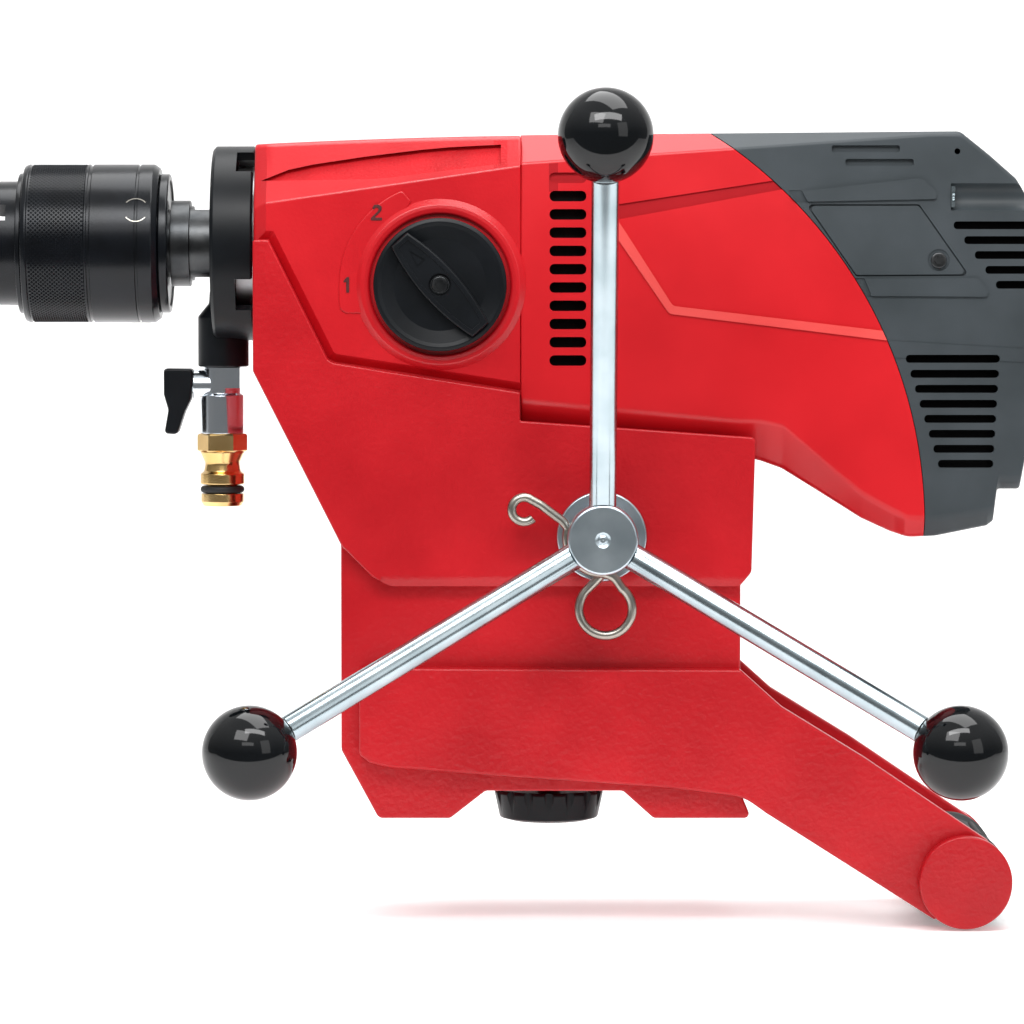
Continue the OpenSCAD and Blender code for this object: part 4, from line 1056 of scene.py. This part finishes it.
def rear():
    """The black rear cover with its vents, ribs and brush panel."""
    shell = motor_loft("rear_cover")
    upper = rounded([(82, 213), (82, 217), (139, 223.4, 2), (145.5, 217, 3), (145, 214.3, 1)], 0.5, 3)
    lower = rounded([(112.4, 179.6, 0.5), (163.4, 179.9, 2), (167.8, 174.5, 2), (167.2, 171.9, 1),
                     (116.1, 172.3, 0.5)], steps=3)
    add(shell, both_sides(on_casing(upper, 1.1, "upper_rib")))
    add(shell, both_sides(on_casing(lower, 1.1, "lower_rib")))
    fold = rounded([(112, 146), (200, 143), (200, 148.3, 1), (112, 153.6)], 0.5, 2)
    add(shell, both_sides(on_casing(fold, 0.35, "fold")))
    for line in ([(84.5, 212.8), (89.6, 212.8), (86.8, 218), (81, 218)],
                 [(112, 171.8), (117.4, 171.8), (114, 180), (107, 180)]):
        cut(shell, both_sides(on_casing(line, -0.6, "notch", y1=-48)))
    cut(shell, both_sides(on_casing(offset(BRUSH_PANEL, 0.5), -1.5, "panel_seat", y1=-44)))
    hollow = motor_loft("hollow", WALL)
    cut(hollow, both_sides(rod("tunnel_wall", 9.0, 149.5, 45, "X", (0, -48.6, 215.3), 0.2, 48)))
    cut(hollow, both_sides(side_plate("seat_wall", offset(BRUSH_PANEL, 2), -60, -44.5)))
    cut(shell, hollow)
    cut(shell, joint_cylinder("gap", 203.15))
    cut(shell, both_sides(side_plate("window", offset(BRUSH_PANEL, -4), -60, -40)))
    cut(shell, both_sides(rod("tunnel", 6.2, 151.6, 45, "X", TUNNEL, 0.3, 48)))
    for i in range(8):
        z = 97.4 + (7 - i) * 6.54
        cut(shell, both_sides(pill("vent", 132.2 + i * 2.05, 173.1 - i * 0.35, z, z + 3.5, -60, -44)))
    for i in range(5):
        z = 201.2 - i * 6.45
        cut(shell, both_sides(pill("vent", 152.8 + i * 4.6, 200, z, z + 3.4, -60, -44)))
    for i in range(2):
        x0, x1, z0, z1 = 99.8 + i * 6, 129.4 + i * 6, 234.6 - i * 5.9, 237.6 - i * 5.9
        line = rounded([(x0, z0), (x1, z0), (x1, z1), (x0, z1)], 0.9, 3)
        cut(shell, both_sides(on_casing(line, -1.8, "top_slot", y1=-30)))
    cut(shell, both_sides(rod("pin_hole", 1.3, -60, 30, "Y", (154.4, 0, 235), 0.05, 24)))
    cut(shell, block("switch_hole", (180, -17, 163), (200, 17, 193)))
    cut(shell, rod("gland_hole", 8, 40, 20, "Y", (150, 0, 96), 0.02, 64))
    finish_piece(shell, FIXED, ["rear_cover"], PLASTIC_BLACK, angle=28)

    cover = side_plate("brush_covers", offset(BRUSH_PANEL, -0.12), -60, -48.55)
    common(cover, motor_loft("skin", -0.15))
    eased(cover, 0.5, 2, 40)
    cut(cover, rod("ring", 4.8, -60, 10.8, "Y", PANEL_SCREW, 0.02, 48))
    cut(cover, rod("hole", 1.8, -60, 30, "Y", PANEL_SCREW, 0.02, 24))
    finish_piece(both_sides(cover), FIXED, ["brush_covers"], PLASTIC_BLACK)


def small_screws():
    """Every fastener that shows, and the hidden ones of the same set."""
    heads = []
    for x, y in FEET:
        cap = rod("cap", 6.5, 94, 8, "Z", (x, y, 0), 0.8, 48)
        cut(cap, stack("key", [[(a, b, z) for a, b in on_circle(3.5, HEX, x, y)] for z in (92, 98)]))
        add(cap, rod("shank", 4, 101.9, 17.1, "Z", (x, y, 0), 0.4, 40))
        heads.append(cap)
    bolt = rod("bolt", 2.2, -160, 8.4, "X", (0, 0, DRIVE_Z + 29.5), 0.3, 24)
    turned_about(bolt, "X", 30, DRIVE)
    heads.append(repeated(bolt, 6, turn=(60, 0, 0), about=DRIVE, material=SPINDLE_DARK))
    panel = screw("panel", 3.4, -50.8, 0.9, PANEL_SCREW, 1.8)
    add(panel, rod("shank", 1.75, -50, 1.4, "Y", PANEL_SCREW, 0.1, 24))
    heads.append(both_sides(panel))
    finish_piece(joined("fasteners", heads), FIXED, ["assembly_screws"], SPINDLE_DARK)
    line = [(151.7, 0.001), (151.7, 4.6), (153.4, 4.6, 0.6), (153.4, 2.2, 0.3), (152.2, 2, 0.1),
            (152.2, 0.001)]
    ring = lathe("tunnel_screws", on_axis(line), "X", TUNNEL, 0.1, 48)
    common(ring, block("limit", (140, -49.9, 200), (170, -40, 230)))
    finish_piece(both_sides(ring), FIXED, [], CHROME)


def power_switch():
    """Rocker switch and its bezel on the rear face, and the cable gland."""
    frame_line = rounded([(180, 163), (187.6, 163), (187.6, 193), (180, 193)], 0.8, 3)
    bezel = side_plate("switch_bezel", frame_line, -17, 17, edge=0.8)
    cut(bezel, block("hole", (179, -12, 167), (189, 12, 189)))
    finish_piece(bezel, FIXED, ["switch_bezel"], KNOB_BLACK)
    line = rounded([(181.1, 169, 0.3), (186.8, 169, 0.8), (185.2, 178, 6), (186.8, 187, 0.8),
                    (181.1, 187, 0.3)], steps=4)
    rocker = side_plate("switch_rocker", line, -11.7, 11.7, edge=0.5)
    finish_piece(rocker, "switch_rocker", ["switch_rocker"], PLASTIC_RED)
    spot = (150, 0, 96)
    line = [(4.5, 47), (8, 47), (8, 50.2, 0.1), (8.6, 54), (9, 54), (9, 59), (4.5, 59)]
    gland = lathe("cable_gland", line, "Y", spot, 0.6, 64)
    add(gland, side_plate("nut", rounded(on_circle(12, HEX, 150, 96), 1, 3), 50, 54, edge=0.5))
    cut(gland, rod("bore", 4.5, 40, 30, "Y", spot, 0.02, 48))
    finish_piece(gland, FIXED, ["cable_gland"], KNOB_BLACK)


# ---------- handwheel ----------

def handwheel():
    """Hub, three spokes with ball knobs, and the spring clip."""
    line = [(0.001, -86), (1.2, -86, 0.1), (2.2, -85.2, 0.2), (3.4, -86, 0.1), (15.2, -86, 1.4),
            (15.2, -70, 1), (13, -70, 0.3), (13, -58.1, 0.3), (19.5, -58.1, 0.8), (19.5, -54.2, 0.8),
            (10, -54.2), (10, -73), (0.001, -73)]
    hub = lathe("handwheel_hub", line, "Y", WHEEL, 0.3, 96)
    cut(hub, rod("clip_hole", 2.1, WHEEL_Z - 40, 80, "Z", (0, -63, 0), 0.02, 24))
    finish_piece(hub, "handwheel", ["handwheel_hub"], TURNED)

    reach = Vector((160, -62, 0))
    spoke = rod("spoke", 5.8, 0, reach.length - 19.3, "X", ORIGIN, 0.6, 48)
    lean = degrees(atan2(-62, 160))
    turned_about(spoke, "Z", lean, ORIGIN)
    shifted(spoke, (12, -79, 0))
    cut(spoke, rod("hub_room", 15.21, -90, 40, "Y", ORIGIN, 0.01, 96))
    turned_about(spoke, "Y", -90, ORIGIN)
    spokes = repeated(spoke, 3, turn=(0, 120, 0), material=CHROME)
    spokes.name = "spokes"
    shifted(spokes, WHEEL)
    finish_piece(spokes, "handwheel", ["spokes"], CHROME)

    profile = [(20 * sin(radians(a)), -20 * cos(radians(a))) for a in range(0, 163, 3)]
    profile[0] = (0.0, -20)
    profile += [(6.1, 19.3), (6.05, 18.9), (0.0, 18.9)]
    knob = turned("ball", [(r, -h) for r, h in profile], "Z", (0, 0, 172), 96)
    tilt = degrees(atan2(62, 160))
    turned_about(knob, "X", tilt, (0, 0, 172))
    shifted(knob, (0, -141, 0))
    knobs = repeated(knob, 3, turn=(0, 120, 0), material=GLOSS_BLACK)
    knobs.name = "ball_knobs"
    shifted(knobs, WHEEL)
    finish_piece(knobs, "handwheel", ["ball_knobs"], GLOSS_BLACK)

    near, far = -63.0, -67.3
    path = [(0, near, 20), (0, near, -13)]
    eye = on_circle(11.5, [128 + 284 * k / 40 for k in range(41)], 1.5, -31)
    loop = [(x, near + (far - near) * k / 40, z) for k, (x, z) in enumerate(eye)]
    path += bent_path([path[-1], (-0.2, near, -16.5), loop[0]], 5, 6)[1:-1] + loop
    around = [(x, far, z) for x, z in on_circle(15.3, range(270, 160, -5))]
    path += bent_path([loop[-1], (5.2, far, -16.9), around[0]], 7, 6)[1:-1] + around
    hook = [(x, far, z) for x, z in on_circle(5.3, range(52, 320, 8), -33.8, 12.2)]
    path += bent_path([around[-1], (-16.6, far, 6.8), (-26.5, far, 14.2), hook[0]], 8, 5)[1:-1] + hook
    clip = wire("retaining_clip", [(x, y, z + WHEEL_Z) for x, y, z in path], 2.0, NICKEL, 20)
    finish_piece(clip, "handwheel", ["retaining_clip"], NICKEL)


# ---------- the pieces inside keep their CAD shape ----------

def paint_cad_nodes():
    """Gives every CAD node that still shows the finish of its material slot."""
    slots = {part["node"]: part["material_slot"] for part in frame["record"]["subparts"]}
    own = {"electronics_module": KNOB_BLACK, "cooling_fan": KNOB_BLACK, "water_seals": RUBBER}
    for name, node in frame["nodes"].items():
        node.data.materials.clear()
        node.data.materials.append(own.get(name, SLOT_FINISH[slots[name]]))


# ---------- floor, light and camera ----------

def soft_light(name, spot, aim, size, watts):
    """A large soft lamp turned towards a point."""
    lamp = bpy.data.lights.new(name, "AREA")
    lamp.shape = "RECTANGLE"
    lamp.size, lamp.size_y = size
    lamp.energy = watts
    holder = placed(name, lamp)
    holder.location = spot
    holder.rotation_euler = (Vector(aim) - Vector(spot)).to_track_quat("-Z", "Y").to_euler()


def studio():
    """A pale plain floor that rises into a backdrop, soft lamps and the camera."""
    low = cad_low[2] - 0.0008
    points, faces = [], []
    line = [(-0.46, low)] + [(1.2 + 0.9 * sin(radians(a)), low + 0.9 - 0.9 * cos(radians(a)))
                            for a in range(0, 91, 6)] + [(2.1, low + 3.2)]
    for y, z in line:
        points += [(-4, y, z), (4, y, z)]
    for i in range(len(line) - 1):
        faces.append((2 * i, 2 * i + 1, 2 * i + 3, 2 * i + 2))
    mesh = bpy.data.meshes.new("studio_floor")
    mesh.from_pydata(points, [], faces)
    mesh.shade_smooth()
    pale = surface("pale_floor", (247, 247, 247), (252, 252, 252), 0.7, 0.03, 3, 60)
    pale.node_tree.nodes["Principled BSDF"].inputs["Emission Color"].default_value = (1, 1, 1, 1)
    pale.node_tree.nodes["Principled BSDF"].inputs["Emission Strength"].default_value = 0.25
    mesh.materials.append(pale)
    floor = placed("studio_floor", mesh)

    world = bpy.data.worlds.new("studio")
    world.use_nodes = True
    sky = world.node_tree
    way = sky.nodes.new("ShaderNodeTexCoord")
    parts = sky.nodes.new("ShaderNodeSeparateXYZ")
    fade = sky.nodes.new("ShaderNodeValToRGB")
    sky.links.new(way.outputs["Generated"], parts.inputs["Vector"])
    sky.links.new(parts.outputs["Z"], fade.inputs["Fac"])
    sky.links.new(fade.outputs["Color"], sky.nodes["Background"].inputs["Color"])
    fade.color_ramp.elements[0].color = (0.2, 0.2, 0.2, 1)
    fade.color_ramp.elements[0].position = 0.1
    fade.color_ramp.elements[1].color = (0.75, 0.75, 0.75, 1)
    fade.color_ramp.elements[1].position = 0.75
    bpy.context.scene.world = world
    soft_light("key", (-0.7, -1.5, 1.6), (0, 0, 0.1), (1.2, 0.9), 17)
    soft_light("fill", (1.4, -1.7, 0.7), (0, 0, 0.1), (0.9, 1.2), 4)
    soft_light("top", (0.1, 0.1, 1.5), (0, 0, 0.1), (1.6, 0.9), 20)
    soft_light("near", (0.05, -0.5, 0.62), (0.02, 0, 0.2), (0.6, 0.16), 2.6)
    soft_light("front", (-0.2, -2.7, 1.3), (0, 0, 0.08), (1.4, 0.4), 4)

    camera = bpy.data.cameras.new("camera")
    camera.lens = 181.7
    camera.sensor_width = 36
    camera.clip_end = 50
    holder = placed("camera", camera)
    aim = Vector((-0.039, 0, 0.07565))
    away, rise = 2.3, radians(3)
    holder.location = aim + Vector((0, -away * cos(rise), away * sin(rise)))
    holder.rotation_euler = Euler((radians(90) - rise, 0, 0))
    bpy.context.scene.camera = holder
    bpy.context.scene.view_settings.view_transform = "Standard"


carriage()
handle()
clamp_knob()
gear_case()
selector()
spindle()
chuck()
water_supply()
motor()
rear()
small_screws()
power_switch()
handwheel()
paint_cad_nodes()
studio()
